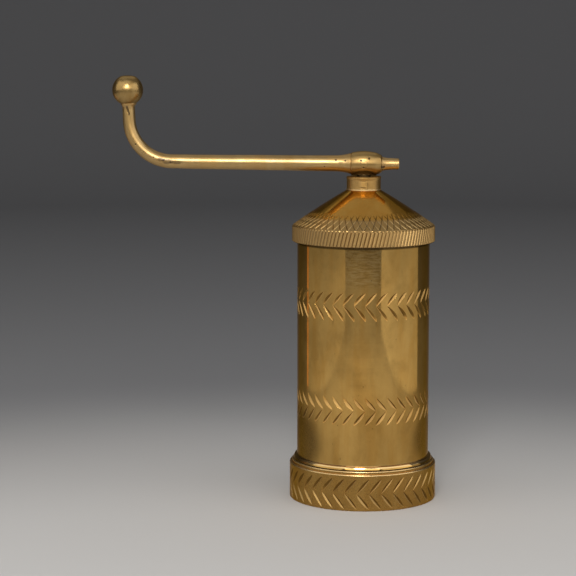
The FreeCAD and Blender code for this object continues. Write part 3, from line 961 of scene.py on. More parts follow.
@dataclass(frozen=True)
class ChevronBand:
    """A band of cut strokes in two rows that meet in points, cut by eye with one graver.

    The pairs above, valley, below and skew hold the upper row's value and then the lower row's. The first
    three are millimetres across a stroke, from its middle line.
    """

    low: float
    middle: float
    high: float
    first_degrees: float
    points_left: bool
    seed: int
    count: int = 38
    steps: int = 14
    depth: float = 0.6
    above: tuple[float, float] = (1.9, 1.9)
    valley: tuple[float, float] = (0.45, 0.2)
    below: tuple[float, float] = (0.65, 0.45)
    skew: tuple[float, float] = (1.3, 1.05)
    tips: tuple[float, float] = (0.02, 0.985)
    fullness: float = 0.55
    thinnest: float = 0.04
    flats: int = 3
    shift_range: Ramp = (-0.04, 0.04)
    width_range: Ramp = (-0.22, 0.08)
    depth_range: Ramp = (0.7, 1.1)
    deepest: float = 0.8

    @property
    def pitch(self) -> float:
        """The angle from one stroke to the next, in radians."""
        return TURN / self.count

    @property
    def lean(self) -> float:
        """Which way the strokes run from the middle row outwards: 1 to the right."""
        return 1.0 if self.points_left else -1.0

    @property
    def start(self) -> float:
        """The angle at which the sector begins, in radians."""
        return math.radians(self.first_degrees) - 0.5 * self.pitch

    def _leaf(self, share: float, skew: float) -> float:
        """Give how wide a stroke is along its row, from 0 to 1.

        Args:
            share: how far from the middle row, from 0 to 1.
            skew: above 1 where the stroke is widest away from the middle row, below 1 near it.

        Returns:
            The share of its full width.
        """
        first, last = self.tips
        along = (share - first) / (last - first)
        if along <= 0.0 or along >= 1.0:
            return 0.0
        eased = along ** skew if skew >= 1.0 else 1.0 - (1.0 - along) ** (1.0 / skew)
        return math.sin(math.pi * eased) ** self.fullness

    def draw(self, draft: Draft, radius: float, turn: float) -> tuple[list[list[int]], float]:
        """Draw one sector of the band.

        Args:
            draft: the draft to draw in.
            radius: the radius of the wall.
            turn: the angle at which the sector's rows have arrived so far, in radians.

        Returns:
            The rows of point numbers from the bottom up, and the angle at the top row.
        """
        rows = []
        shift = turn - self.pitch * self.lean
        for limit, side in ((self.low, -1), (self.high, 1)):
            shares = [step / self.steps for step in range(self.steps + 1)]
            if side < 0:
                shares = shares[:0:-1]
            for share in shares:
                height = self.middle + (limit - self.middle) * share
                rows.append(self._row(draft, radius, shift, height, share, side))
        return rows, shift + self.pitch * self.lean

    def _row(self, draft: Draft, radius: float, shift: float, height: float, share: float,
             side: int) -> list[int]:
        """Draw one row of a sector.

        Args:
            draft: the draft to draw in.
            radius: the radius of the wall.
            shift: the angle of the sector's start at the middle row.
            height: the row's height.
            share: how far the row is from the middle row, from 0 to 1.
            side: 1 above the middle row and -1 below it.

        Returns:
            The row's point numbers.
        """
        index = 0 if side > 0 else 1
        leaf = self._leaf(share, self.skew[index])
        half = 0.5 * self.pitch
        upward = -1.0 if (side > 0) == self.points_left else 1.0
        spread = upward * max(leaf, self.thinnest) / radius
        middle = half + self.valley[index] * spread
        edges = (half + self.above[index] * spread, half - self.below[index] * spread)
        left, right = min(edges), max(edges)
        parts = range(self.flats + 1)
        places = [left * part / self.flats for part in parts] + [middle]
        places += [right + (self.pitch - right) * part / self.flats for part in parts]
        row = []
        for column, across in enumerate(places):
            cut = leaf if column == len(parts) else 0.0
            angle = shift + self.lean * self.pitch * share + across
            row.append(draft.polar(angle, radius - self.depth * cut, height, cut))
        return row

    def vary(self, points: SheetOfPoints, radius: float) -> None:
        """Make each stroke a little different in place, width and depth.

        Args:
            points: the whole round piece.
            radius: the radius of the wall.
        """
        random = np.random.default_rng(self.seed)
        shape = (2, self.count)
        shifts = random.uniform(*self.shift_range, shape)
        widths = random.uniform(*self.width_range, shape)
        depths = random.uniform(*self.depth_range, shape)
        inside = (points.height > self.low + LEVEL_ERROR) & (points.height < self.high - LEVEL_ERROR)
        inside &= np.abs(points.radius - radius) < self.deepest
        height, angle = points.height[inside], points.angle[inside]
        above = height > self.middle
        share = np.where(above, (height - self.middle) / (self.high - self.middle),
                         (self.middle - height) / (self.middle - self.low))
        turns = (angle - self.start) / self.pitch - self.lean * share
        stroke = np.floor(turns).astype(int)
        across = turns - stroke - 0.5
        row, column = above.astype(int), stroke % self.count
        window = np.sqrt(np.clip(4.0 * share * (1.0 - share), 0.0, 1.0))
        window = (1.0 - (2.0 * np.abs(across)) ** 4) * window
        moved = across * (widths[row, column] * window) + shifts[row, column] * window
        points.angle[inside] = angle + moved * self.pitch
        strength = depths[row, column]
        points.radius[inside] = radius - (radius - points.radius[inside]) * strength
        points.cut[inside] *= strength


# The section of a thread's groove, and how dark it is.
GROOVE_STEEPNESS = 2.6
GROOVE_CREST = 0.35
GROOVE_SHADE = 0.7


def cut_thread(points: SheetOfPoints, crest: float, low: float, high: float, depth: float,
               pitch: float) -> None:
    """Cut a helical thread in a wall.

    Args:
        points: the whole round piece.
        crest: the wall's radius.
        low: the lower end of the thread.
        high: its upper end.
        depth: how deep it goes, negative where it goes outwards from a bore.
        pitch: the rise in one turn.
    """
    inside = (np.abs(points.radius - crest) < WALL_ERROR)
    inside &= (points.height > low - LEVEL_ERROR) & (points.height < high + LEVEL_ERROR)
    height = points.height[inside]
    wave = (height / pitch - points.angle[inside] / TURN) % 1.0
    groove = np.clip((0.5 - np.abs(wave - 0.5)) * GROOVE_STEEPNESS - GROOVE_CREST, 0.0, 1.0)
    fade = np.clip(np.minimum(height - low, high - height) / (0.5 * pitch), 0.0, 1.0)
    points.radius[inside] -= depth * groove * fade
    points.cut[inside] = np.maximum(points.cut[inside], GROOVE_SHADE * groove * fade)


# ---------------------------------------------------------------- the parts


HUB_HEIGHT = 165.15
ARM_TILT_DEGREES = 0.5


@dataclass
class EngravedTube:
    """A round wall with chevron bands, drawn as one sector of a closed profile."""

    name: str
    bands: tuple[ChevronBand, ...]
    columns: int = 8
    count: int = 38

    def profile(self) -> list[tuple[float, float]]:
        """Give the closed profile as (radius, height) corners, without the bands."""
        raise NotImplementedError

    def sector(self, band_radius: float) -> Draft:
        """Draw the sector.

        Args:
            band_radius: the radius of the wall that carries the bands.

        Returns:
            The sector's draft.
        """
        draft = Draft()
        pitch = TURN / self.count
        turn = self.bands[0].start + self.bands[0].pitch * self.bands[0].lean
        bands = {band.low: band for band in self.bands}
        corners = self.profile()
        last: Optional[list[int]] = None
        for radius, height in corners + corners[:1]:
            if height in bands and radius == band_radius:
                rows, turn = bands.pop(height).draw(draft, band_radius, turn)
            else:
                angles = [turn + pitch * column / self.columns for column in range(self.columns + 1)]
                rows = [[draft.polar(angle, radius, height) for angle in angles]]
            for row in rows:
                if last is not None:
                    draft.strip(last, row)
                last = row
        return draft


def stepped(start: float, stop: float, step: float) -> list[float]:
    """Give even heights from start to stop, both kept."""
    count = max(1, round(abs(stop - start) / step))
    return [start + (stop - start) * index / count for index in range(count + 1)]


def rounded_edge(radius: float, height: float, rounding: float) -> list[tuple[float, float]]:
    """Give a quarter round from the wall up to the top.

    Args:
        radius: the wall's radius.
        height: the top's height.
        rounding: the radius of the quarter round.

    Returns:
        Its (radius, height) corners.
    """
    turns = [math.radians(degrees) for degrees in range(0, 91, EDGE_STEP_DEGREES)]
    return [(radius - rounding * (1.0 - math.cos(turn)), height - rounding * (1.0 - math.sin(turn)))
            for turn in turns]


@dataclass
class BaseRing(EngravedTube):
    """The ring at the foot that screws on the barrel and holds the die."""

    name: str = "base_ring_engraved"
    bands: tuple[ChevronBand, ...] = (ChevronBand(
        0.9, 8.5, 15.8, 5.1, True, seed=11, depth=0.62, above=(1.3, 1.3), valley=(-0.35, 0.1),
        below=(1.05, 1.15), skew=(1.2, 1.1)),)
    radius: float = 36.15
    foot_edge: tuple[tuple[float, float], ...] = ((0.45, 0.0), (0.12, 0.12), (0.0, 0.45))
    band_margin: float = 16.6
    bore: float = 33.8
    bore_chamfer: float = 0.3
    rim: float = 17.9
    rim_rounding: float = 0.75
    bead: float = 19.3
    bead_radius: float = 35.0
    bead_rounding: float = 0.6
    bead_foot: tuple[tuple[float, float], ...] = ((0.12, 0.0), (0.0, 0.1))
    lip: float = 27.5
    lip_height: float = 4.0
    lip_chamfer: float = 1.2
    thread_low: float = 7.0
    thread_end: float = 0.5
    thread_depth: float = 0.6
    thread_pitch: float = 1.5
    thread_step: float = 0.2

    def profile(self) -> list[tuple[float, float]]:
        """Give the ring's profile from the lip's underside outwards and up."""
        wall, band = self.radius, self.bands[0]
        corners = [(self.lip, 0.0)] + [(wall - inward, up) for inward, up in self.foot_edge]
        corners += [(wall, band.low), (wall, self.band_margin)]
        corners += rounded_edge(wall, self.rim, self.rim_rounding)
        corners += [(self.bead_radius + out, self.rim - down) for out, down in self.bead_foot]
        corners += rounded_edge(self.bead_radius, self.bead, self.bead_rounding)
        corners += [(self.bore + self.bore_chamfer, self.bead), (self.bore, self.bead - self.bore_chamfer)]
        threaded = stepped(self.bead - self.thread_end, self.lip_height, self.thread_step)
        corners += [(self.bore, height) for height in threaded]
        corners += [(self.lip + self.lip_chamfer, self.lip_height)]
        corners += [(self.lip, self.lip_height - self.lip_chamfer)]
        return corners

    def build(self, array: RingArray) -> list[Piece]:
        """Make the ring.

        Args:
            array: the tree that repeats the sector.

        Returns:
            The ring as one piece.
        """
        mesh = array.repeat(self.sector(self.radius), self.name, self.count)
        points = SheetOfPoints(mesh)
        self.bands[0].vary(points, self.radius)
        cut_thread(points, self.bore, self.thread_low, self.bead - self.thread_end, -self.thread_depth,
                   self.thread_pitch)
        points.write()
        tidy_mesh(mesh)
        return [Piece(self.name, mesh, Body.BASE, Slot.POLISHED, ("base_ring",))]


@dataclass
class Barrel(EngravedTube):
    """The dough barrel with its rounded collar, two engraved bands and screw threads at both ends."""

    name: str = "barrel_engraved"
    bands: tuple[ChevronBand, ...] = (
        ChevronBand(41.2, 48.3, 54.9, 1.9, False, seed=5, above=(0.6, 1.2), valley=(0.05, 0.0),
                    below=(1.8, 1.3), skew=(0.75, 1.3)),
        ChevronBand(91.6, 99.0, 105.4, 1.9, True, seed=3),
    )
    foot: float = 7.0
    top: float = 133.0
    chamfer: float = 0.6
    radius: float = 32.5
    wall_step: float = 3.1
    bore: float = 29.5
    bore_step: float = 12.0
    foot_radius: float = 33.5
    foot_thread: float = 18.2
    relief: float = 0.1
    collar_radius: float = 34.3
    collar_low: float = 19.6
    collar_high: float = 21.2
    collar_round: tuple[tuple[float, float], ...] = (
        (0.02, 1.4), (0.35, 0.6), (0.55, 0.25), (0.65, 0.15), (0.82, 0.05), (1.05, 0.0))
    collar_fillet: float = 0.25
    plain_from: tuple[float, ...] = (23.0, 57.0, 107.0)
    mouth_thread: float = 127.4
    mouth_margin: float = 0.2
    foot_thread_depth: float = 0.7
    mouth_thread_depth: float = 0.6
    thread_pitch: float = 1.5
    thread_step: float = 0.19

    def profile(self) -> list[tuple[float, float]]:
        """Give the barrel's profile from its foot up the outside and down the bore."""
        wall, collar = self.radius, self.collar_radius
        foot, top = self.foot + self.chamfer, self.top - self.chamfer
        corners = [(self.bore, self.foot), (self.foot_radius - self.chamfer, self.foot)]
        threaded = stepped(foot, self.foot_thread, self.thread_step)
        corners += [(self.foot_radius, height) for height in threaded]
        corners += [(wall + self.relief, self.foot_thread), (wall + self.relief, self.collar_low)]
        corners += [(collar, self.collar_low)]
        corners += [(collar - inward, self.collar_high - down) for inward, down in self.collar_round]
        corners += [(wall + self.collar_fillet, self.collar_high)]
        corners += [(wall, self.collar_high + self.collar_fillet)]
        plain_to = [band.low for band in self.bands] + [self.mouth_thread - self.mouth_margin]
        for low, high in zip(self.plain_from, plain_to):
            corners += [(wall, height) for height in stepped(low, high, self.wall_step)]
        corners += [(wall, height) for height in stepped(self.mouth_thread, top, self.thread_step)]
        corners += [(wall - self.chamfer, self.top), (self.bore + self.chamfer, self.top)]
        corners += [(self.bore, height) for height in stepped(top, self.foot, self.bore_step)]
        return corners[:-1]

    def build(self, array: RingArray) -> list[Piece]:
        """Make the barrel.

        Args:
            array: the tree that repeats the sector.

        Returns:
            The barrel as one piece.
        """
        mesh = array.repeat(self.sector(self.radius), self.name, self.count)
        points = SheetOfPoints(mesh)
        for band in self.bands:
            band.vary(points, self.radius)
        cut_thread(points, self.foot_radius, self.foot + self.chamfer, self.foot_thread,
                   self.foot_thread_depth, self.thread_pitch)
        cut_thread(points, self.radius, self.mouth_thread, self.top - self.chamfer,
                   self.mouth_thread_depth, self.thread_pitch)
        points.write()
        tidy_mesh(mesh)
        return [Piece(self.name, mesh, Body.BARREL, Slot.POLISHED, ("barrel",))]


@dataclass
class ScrewCap:
    """The screw cap: a skirt of slanting ridges, a cone with a knurled foot, and a polished crown."""

    name: str = "cap_knurled"
    strips: int = 58
    foot: float = 127.3
    skirt_radius: float = 35.0
    ridge_depth: float = 0.5
    ridge_shares: tuple[float, ...] = (0.0, 0.2, 0.5, 0.8)
    ridge_relief: tuple[float, ...] = (1.0, 0.22, 0.0, 0.22)
    ridge_end: float = 0.4
    ridge_run: float = 1.4
    ridge_step: float = 1.0
    skirt_top: float = 135.1
    skirt_wall: float = 0.6
    skirt_margin: float = 0.1
    cone_low: tuple[float, float] = (34.5, 135.35)
    cone_high: tuple[float, float] = (8.33, 152.4)
    cone_swell: float = 0.5
    cone_rows: tuple[float, ...] = (0.03, 0.15, 0.3, 0.45, 0.6, 0.75, 0.88, 1.0)
    knurl_radius: float = 24.3
    knurl_low: float = 135.4
    knurl_depth: float = 0.3
    knurl_margin: float = 0.5
    diamonds: int = 3
    line_share: float = 0.11
    columns: int = 4
    bore: float = 32.8
    hollow: float = 29.5
    hollow_top: float = 134.78
    mouth: float = 133.0
    seat: tuple[float, float] = (12.5, 145.94)
    thread_top: float = 132.8
    thread_depth: float = 0.6
    thread_pitch: float = 1.5
    thread_step: float = 0.2
    wear: Wave = Wave(0.16, 0.05, 4.0)
    wear_middle: float = 0.94
    wear_least: float = 0.45
    sway: Wave = Wave(0.08, 0.25, 9.0)

    @property
    def pitch(self) -> float:
        """The angle of one strip, in radians."""
        return TURN / self.strips

    def _cone(self, share: float, depth: float) -> tuple[float, float]:
        """Give the radius and height at a share of the cone's side, sunk by a depth."""
        low, high = self.cone_low, self.cone_high
        run, rise = high[0] - low[0], high[1] - low[1]
        length = math.hypot(run, rise)
        swell = 4.0 * self.cone_swell * share * (1.0 - share)
        return (low[0] + run * share - depth * rise / length,
                low[1] + rise * share + swell + depth * run / length)

    def _skirt(self, draft: Draft) -> tuple[list[int], list[int]]:
        """Draw the skirt's ridges.

        Args:
            draft: the draft to draw in.

        Returns:
            The bottom and the top row.
        """
        half = 0.5 * self.pitch
        corners = len(self.ridge_shares)
        heights = [self.foot, self.foot + self.ridge_end]
        heights += stepped(self.foot + self.ridge_run, self.skirt_top - self.ridge_run, self.ridge_step)
        heights += [self.skirt_top - self.ridge_end, self.skirt_top]
        rows = []
        for index, height in enumerate(heights):
            share = (height - self.foot) / (self.skirt_top - self.foot)
            plain = index in (0, len(heights) - 1)
            row = []
            for column in range(2 * corners + 1):
                ridge, corner = divmod(column, corners)
                angle = half * (share - 1.0) + half * (ridge + self.ridge_shares[corner])
                cut = 1.0 if plain else self.ridge_relief[corner]
                row.append(draft.polar(angle, self.skirt_radius - self.ridge_depth * cut, height,
                                       0.0 if plain else cut))
            rows.append(row)
        for lower, upper in zip(rows, rows[1:]):
            draft.strip(lower, upper)
        return rows[0], rows[-1]

    def _knurl(self, draft: Draft) -> tuple[list[int], list[int]]:
        """Draw one strip of crossed lines with flat diamonds between them.

        Args:
            draft: the draft to draw in.

        Returns:
            The strip's bottom and top rows.
        """
        edge, last = self.line_share, self.columns
        across = (0.0, edge, 0.5, 1.0 - edge, 1.0)
        along = [whole + part for whole in range(self.diamonds + 1) for part in across[:last]]
        along.append(self.diamonds + 1.0)
        foot, crown = self.cone_low[0], self.cone_high[0]
        top_share = (foot - self.knurl_radius) / (foot - crown)
        numbers: dict[tuple[int, int], int] = {}
        for i, a in enumerate(along):
            for j, b in enumerate(across):
                rise = (a - b) / self.diamonds
                if not -NEARLY <= rise <= 1.0 + NEARLY:
                    continue
                line = i % last == 0 or j in (0, last)
                cut = max(0.0, 1.0 - rise ** 2) if line else 0.0
                radius, height = self._cone(rise * top_share, self.knurl_depth * cut)
                numbers[i, j] = draft.polar(self.pitch * 0.5 * (a + b), radius, height, cut)
        for i in range(len(along) - 1):
            for j in range(last):
                corners = [(i, j), (i + 1, j), (i + 1, j + 1), (i, j + 1)]
                face = [numbers[corner] for corner in corners if corner in numbers]
                if len(face) >= 3:
                    draft.faces.append(tuple(face))
        top = last * self.diamonds
        return ([numbers[j, j] for j in range(last + 1)],
                [numbers[top + j, j] for j in range(last + 1)])

    def _plain_row(self, draft: Draft, start: float, radius: float, height: float) -> list[int]:
        """Draw one plain row of a sector that starts at a share of the pitch."""
        angles = [self.pitch * (part / self.columns + start) for part in range(self.columns + 1)]
        return [draft.polar(angle, radius, height) for angle in angles]

    def sector(self) -> Draft:
        """Draw one sector of the whole cap.

        Returns:
            The sector's draft.
        """
        draft = Draft()
        bottom, top = self._skirt(draft)
        lower, upper = self._knurl(draft)
        draft.strip(top, lower)
        crown_bore = self.cone_high[0]
        start = (self.cone_low[0] - self.knurl_radius) / (self.cone_low[0] - crown_bore)
        outside = [self._cone(start + (1.0 - start) * part, 0.0) for part in self.cone_rows]
        inside = [(crown_bore, self.seat[1]), self.seat, (self.hollow, self.hollow_top),
                  (self.hollow, self.mouth), (self.bore, self.mouth)]
        threaded = stepped(self.thread_top, self.foot + self.ridge_end, self.thread_step)
        inside += [(self.bore, height) for height in threaded]
        inside += [(self.bore + self.ridge_end, self.foot)]
        last = upper
        for radius, height in outside:
            row = self._plain_row(draft, 0.5 * self.diamonds, radius, height)
            draft.strip(last, row)
            last = row
        last = self._plain_row(draft, -0.5, *outside[-1])
        for radius, height in inside:
            row = self._plain_row(draft, -0.5, radius, height)
            draft.strip(last, row)
            last = row
        draft.strip(bottom, last)
        return draft

    def _wear(self, points: SheetOfPoints) -> None:
        """Wear the skirt's ridges down unevenly, and let the knurl's lines stray a little."""
        skirt = points.radius > self.bore + self.skirt_wall
        skirt &= points.height < self.skirt_top - self.skirt_margin
        highlight_ring_colour = np.array([self.wear_middle + self.wear.at(round_place(a, self.skirt_radius, z))
                         for a, z in zip(points.angle[skirt], points.height[skirt])])
        sunk = self.skirt_radius - points.radius[skirt]
        points.radius[skirt] = self.skirt_radius - sunk * np.clip(highlight_ring_colour, self.wear_least, 1.0)
        knurl = points.radius > self.knurl_radius - self.knurl_margin
        knurl &= points.height > self.knurl_low
        places = zip(points.angle[knurl], points.radius[knurl], points.height[knurl])
        sway = np.array([self.sway.at(round_place(*place)) for place in places])
        points.angle[knurl] += sway / points.radius[knurl]

    def build(self, array: RingArray) -> list[Piece]:
        """Make the cap.

        Args:
            array: the tree that repeats the sector.

        Returns:
            The cap as one piece.
        """
        mesh = array.repeat(self.sector(), self.name, self.strips)
        points = SheetOfPoints(mesh)
        self._wear(points)
        cut_thread(points, self.bore, self.foot + self.ridge_end, self.thread_top, -self.thread_depth,
                   self.thread_pitch)
        points.write()
        tidy_mesh(mesh)
        return [Piece(self.name, mesh, Body.CAP, Slot.POLISHED, ("cap",))]


@dataclass
class Neck:
    """The turned nut of the spindle, with its uneven lip above the crown and its flange below.

    The rows of its wall are given as the lowest, the highest and the step.
    """

    name: str = "neck_turned"
    bore: float = 5.68
    bore_top: float = 150.0
    bore_chamfer: float = 0.5
    flange: float = 11.65
    flange_low: float = 142.94
    flange_chamfer: float = 0.3
    seat: float = 145.94
    seat_play: float = 0.02
    radius: float = 8.3
    foot_rows: tuple[float, float, float] = (146.44, 152.3, 1.9)
    foot_bead: tuple[tuple[float, float], ...] = ((0.35, 152.35), (0.35, 152.5), (0.0, 153.0))
    wall_rows: tuple[float, float, float] = (153.4, 157.6, 0.6)
    lip_foot: tuple[float, float] = (0.08, 157.9)
    lip_radius: float = 8.5
    lip_low: float = 158.2
    lip_high: float = 158.75
    lip_chamfer: float = 0.3
    top: float = 159.0
    segments: int = 144
    uneven_above: float = 157.0
    uneven_outside: float = 7.0
    dented_above: float = 158.0
    wavy_above: float = 151.0
    lip_wave: Wave = Wave(0.07, 0.35, 2.0)
    dents: Wave = Wave(0.16, 0.22, 5.0)
    wall_wave: Wave = Wave(0.02, 0.6, 7.0)

    def _profile(self) -> list[tuple[float, float]]:
        """Give the (radius, height) corners from the flange's underside outwards, up and down the bore."""
        profile = [(self.bore, self.flange_low), (self.flange - self.flange_chamfer, self.flange_low),
                   (self.flange, self.flange_low + self.flange_chamfer),
                   (self.flange, self.seat - self.seat_play), (self.radius, self.seat - self.seat_play)]
        profile += [(self.radius, height) for height in stepped(*self.foot_rows)]
        profile += [(self.radius + out, height) for out, height in self.foot_bead]
        profile += [(self.radius, height) for height in stepped(*self.wall_rows)]
        profile += [(self.radius + self.lip_foot[0], self.lip_foot[1])]
        profile += [(self.lip_radius, self.lip_low), (self.lip_radius, self.lip_high)]
        profile += [(self.lip_radius - self.lip_chamfer, self.top), (self.bore + self.bore_chamfer, self.top)]
        return profile + [(self.bore, self.top - self.bore_chamfer), (self.bore, self.bore_top)]

    def build(self) -> list[Piece]:
        """Make the neck.

        Returns:
            The neck as one piece.
        """
        draft = Draft()
        rings = []
        for radius, height in self._profile():
            ring = []
            lip = height > self.uneven_above and radius > self.uneven_outside
            for index in range(self.segments):
                angle = TURN * index / self.segments
                here = round_place(angle, radius, height)
                swell = self.lip_wave.at(here) if lip else 0.0
                drop = abs(self.dents.at(here)) if lip and height > self.dented_above else 0.0
                if radius == self.radius and height > self.wavy_above:
                    swell += self.wall_wave.at(here)
                ring.append(draft.polar(angle, radius + swell, height - drop))
            rings.append(ring)
        draft.rings(rings + rings[:1])
        mesh = draft.mesh(self.name)
        tidy_mesh(mesh)
        return [Piece(self.name, mesh, Body.CAP, Slot.TURNED, ("spindle_nut",))]


@dataclass
class Spindle:
    """The screw spindle: square-cut thread, plain spigot and stem, and the eye that takes the arm."""

    name: str = "spindle_threaded"
    foot: float = 8.92
    shoulder: float = 20.6
    thread_top: float = 155.3
    thread_play: float = 0.2
    thread_steps: int = 40
    rib_foot: float = 0.5
    rib_crest: float = 0.45
    rib_flank: float = 0.36
    core: float = 4.55
    crest: float = 5.58
    lead: float = 5.0
    spigot: float = 4.0
    spigot_chamfer: float = 0.8
    stem: float = 5.0
    stem_step: float = 0.4
    root: tuple[tuple[float, float], ...] = ((5.0, 158.3), (3.5, 158.8), (3.5, 160.5))
    segments: int = 48
    hub: float = HUB_HEIGHT
    tilt_degrees: float = ARM_TILT_DEGREES
    boss: tuple[float, float] = (6.2, 3.4)
    boss_side: float = 0.05
    drop: float = 5.6
    fillet: float = 0.5
    eye_profile: tuple[tuple[float, float], ...] = ((-6.3, 5.35), (0.0, 5.85), (5.8, 5.5))
    eye_end: tuple[float, float] = (8.9, 4.05)
    eye_taper: float = 1.25
    eye_step: float = 0.35
    eye_bore: float = 3.43
    eye_segments: int = 96
    start_edge: tuple[tuple[float, float], ...] = ((0.0, 0.35), (0.12, 0.1))
    start_run: float = 0.4
    end_edge: tuple[tuple[float, float], ...] = ((0.12, 0.12), (0.0, 0.4))
    end_run: float = 0.5
    belly: float = 0.5
    belly_reach: float = 6.0
    belly_below: float = 1.3
    belly_above: float = 1.7
    filing: Wave = Wave(0.09, 0.16, 1.0)
    fine_filing: Wave = Wave(0.025, 0.6, 3.0)
    filed_away: float = 0.05
    pin_name: str = "arm_pin_flush"
    pin_radius: float = 1.8
    pin_segments: int = 32
    pin_rings: tuple[float, ...] = (0.0, 0.35, 0.7, 0.93, 1.0)
    pin_rise: float = 0.015
    pin_round: float = 0.06

    def eye_radius(self, reach: float) -> float:
        """Give the eye's radius at a distance along the arm's axis from the hub."""
        (x0, r0), (x1, r1), (x2, r2) = self.eye_profile
        if reach > x2:
            share = (reach - x2) / (self.eye_end[0] - x2)
            return r2 + (self.eye_end[1] - r2) * share ** self.eye_taper
        first = (r1 - r0) / (x1 - x0)
        second = ((r2 - r1) / (x2 - x1) - first) / (x2 - x0)
        return r0 + (reach - x0) * (first + second * (reach - x1))

    def _unevenness(self, here: Place) -> float:
        """Give how far the filed surface of the eye stands out at a place from the arm's axis."""
        upward = here[2] / math.hypot(here[1], here[2])
        crown = self.belly * max(0.0, 1.0 - (here[0] / self.belly_reach) ** 2)
        crown *= min(1.0, max(0.0, 1.0 + self.belly_below * upward), self.belly_above - upward)
        return crown + self.filing.at(here) - self.filed_away + self.fine_filing.at(here)

    def _blended(self, reach: float, angle: float, radius: float) -> float:
        """Let the eye's underside flow into the stem.

        Args:
            reach: the distance along the arm's axis from the hub.
            angle: the angle round the arm's axis; straight down is minus a quarter turn.
            radius: the eye's own radius there.

        Returns:
            The radius of the eye and the stem together.
        """
        down = -math.sin(angle)
        along, across = self.boss
        if down < self.boss_side or abs(reach) >= along:
            return radius
        chord = across * math.sqrt(1.0 - (reach / along) ** 2)
        wall = min(chord / max(abs(math.cos(angle)), NEARLY), self.drop / down)
        return 0.5 * (radius + wall + math.sqrt((radius - wall) ** 2 + self.fillet ** 2))

    def _eye(self, draft: Draft) -> None:
        """Draw the barrel-shaped eye with its through bore.

        Args:
            draft: the draft to draw in.
        """
        start, end = self.eye_profile[0][0], self.eye_end[0]
        first, last = self.eye_radius(start), self.eye_radius(end)
        profile = [(start, self.eye_bore)]
        profile += [(start + along, first - inward) for along, inward in self.start_edge]
        reaches = stepped(start + self.start_run, end - self.end_run, self.eye_step)
        profile += [(reach, self.eye_radius(reach)) for reach in reaches]
        profile += [(end - along, last - inward) for along, inward in self.end_edge] + [(end, self.eye_bore)]
        tilt = Euler((0.0, math.radians(self.tilt_degrees), 0.0)).to_matrix()
        rings = []
        for reach, radius in profile:
            ring = []
            for index in range(self.eye_segments):
                angle = TURN * index / self.eye_segments
                swell = 0.0
                if radius > self.eye_bore:
                    here = (reach, math.cos(angle) * radius, math.sin(angle) * radius)
                    swell = self._blended(reach, angle, radius) - radius + self._unevenness(here)
                wide = radius + swell
                world = tilt @ Vector((reach, wide * math.cos(angle), wide * math.sin(angle)))
                ring.append(draft.point((world.x, world.y, world.z + self.hub)))
            rings.append(ring)
        draft.rings(rings + rings[:1])

    def _shaft(self, draft: Draft) -> None:
        """Draw the spindle's core, spigot and stem as one turned rod.

        Args:
            draft: the draft to draw in.
        """
        profile = [(self.spigot - self.spigot_chamfer, self.foot),
                   (self.spigot, self.foot + self.spigot_chamfer),
                   (self.spigot, self.shoulder), (self.core, self.shoulder), (self.core, self.thread_top),
                   (self.stem, self.thread_top + self.stem_step), *self.root]
        rings: list[list[int]] = [[draft.point((0.0, 0.0, self.foot))]]
        for radius, height in profile:
            rings.append([draft.polar(TURN * index / self.segments, radius, height)
                          for index in range(self.segments)])
        rings.append([draft.point((0.0, 0.0, self.root[-1][1]))])
        draft.rings(rings)

    def _rib(self, thread: ScrewThread) -> bmesh.types.BMesh:
        """Sweep the thread's section up the core.

        Args:
            thread: the tree that sweeps it.

        Returns:
            The thread as an open sculpt, to be freed by the caller.
        """
        height = self.lead * 0.5
        flank = self.rib_flank * height
        section = Draft()
        for out, up in ((-self.rib_foot, -0.5 * height), (self.rib_crest, -flank),
                        (self.rib_crest, flank), (-self.rib_foot, 0.5 * height)):
            section.point((up, out, 0.0))
        loop = bpy.data.meshes.new("thread_section")
        places = [tuple(value * MM for value in place) for place in section.points]
        loop.from_pydata(places, [(0, 1), (1, 2), (2, 3), (3, 0)], [])
        length = self.thread_top - self.shoulder - height - 2.0 * self.thread_play
        values = {"Turns": length / self.lead, "Radius": (self.crest - self.rib_crest) * MM,
                  "Length": length * MM, "Steps A Turn": self.thread_steps}
        sculpt = bmesh.new()
        sculpt.from_mesh(thread.run(loop, values))
        rise = (self.shoulder + 0.5 * height + self.thread_play) * MM
        bmesh.ops.translate(sculpt, vec=(0.0, 0.0, rise), verts=sculpt.verts)
        bmesh.ops.recalc_face_normals(sculpt, faces=sculpt.faces)
        return sculpt

    def build(self, thread: ScrewThread) -> list[Piece]:
        """Make the spindle.

        Args:
            thread: the tree that sweeps the thread.

        Returns:
            The spindle as one piece.
        """
        draft = Draft()
        self._shaft(draft)
        self._eye(draft)
        body = draft.mesh(self.name)
        sculpt = self._rib(thread)
        sculpt.from_mesh(body)
        sculpt.to_mesh(body)
        sculpt.free()
        tidy_mesh(body)
        return [Piece(self.name, body, Body.CRANK, Slot.CAST, ("spindle",))]

    def pin(self) -> Piece:
        """Make the flush cross-pin, its ends dressed to the eye's curve.

        Returns:
            The pin as one piece.
        """
        draft = Draft()
        rings: list[list[int]] = []
        for side in (-1.0, 1.0):
            cap: list[list[int]] = []
            for part in self.pin_rings:
                radius = part * self.pin_radius
                rise = self.pin_rise if part < 1.0 else -self.pin_round
                ring = []
                for index in range(self.pin_segments if part else 1):
                    angle = TURN * index / self.pin_segments
                    x, z = radius * math.cos(angle), radius * math.sin(angle)
                    reach = math.sqrt(self.eye_radius(x) ** 2 - z * z)
                    reach += self._unevenness((x, side * reach, z)) + rise
                    ring.append(draft.point((x, side * reach, z + self.hub)))
                cap.append(ring)
            rings += cap if side < 0 else cap[::-1]
        draft.rings(rings)
        mesh = draft.mesh(self.pin_name)
        tidy_mesh(mesh)
        return Piece(self.pin_name, mesh, Body.CRANK, Slot.PIN, ("arm_pin",))


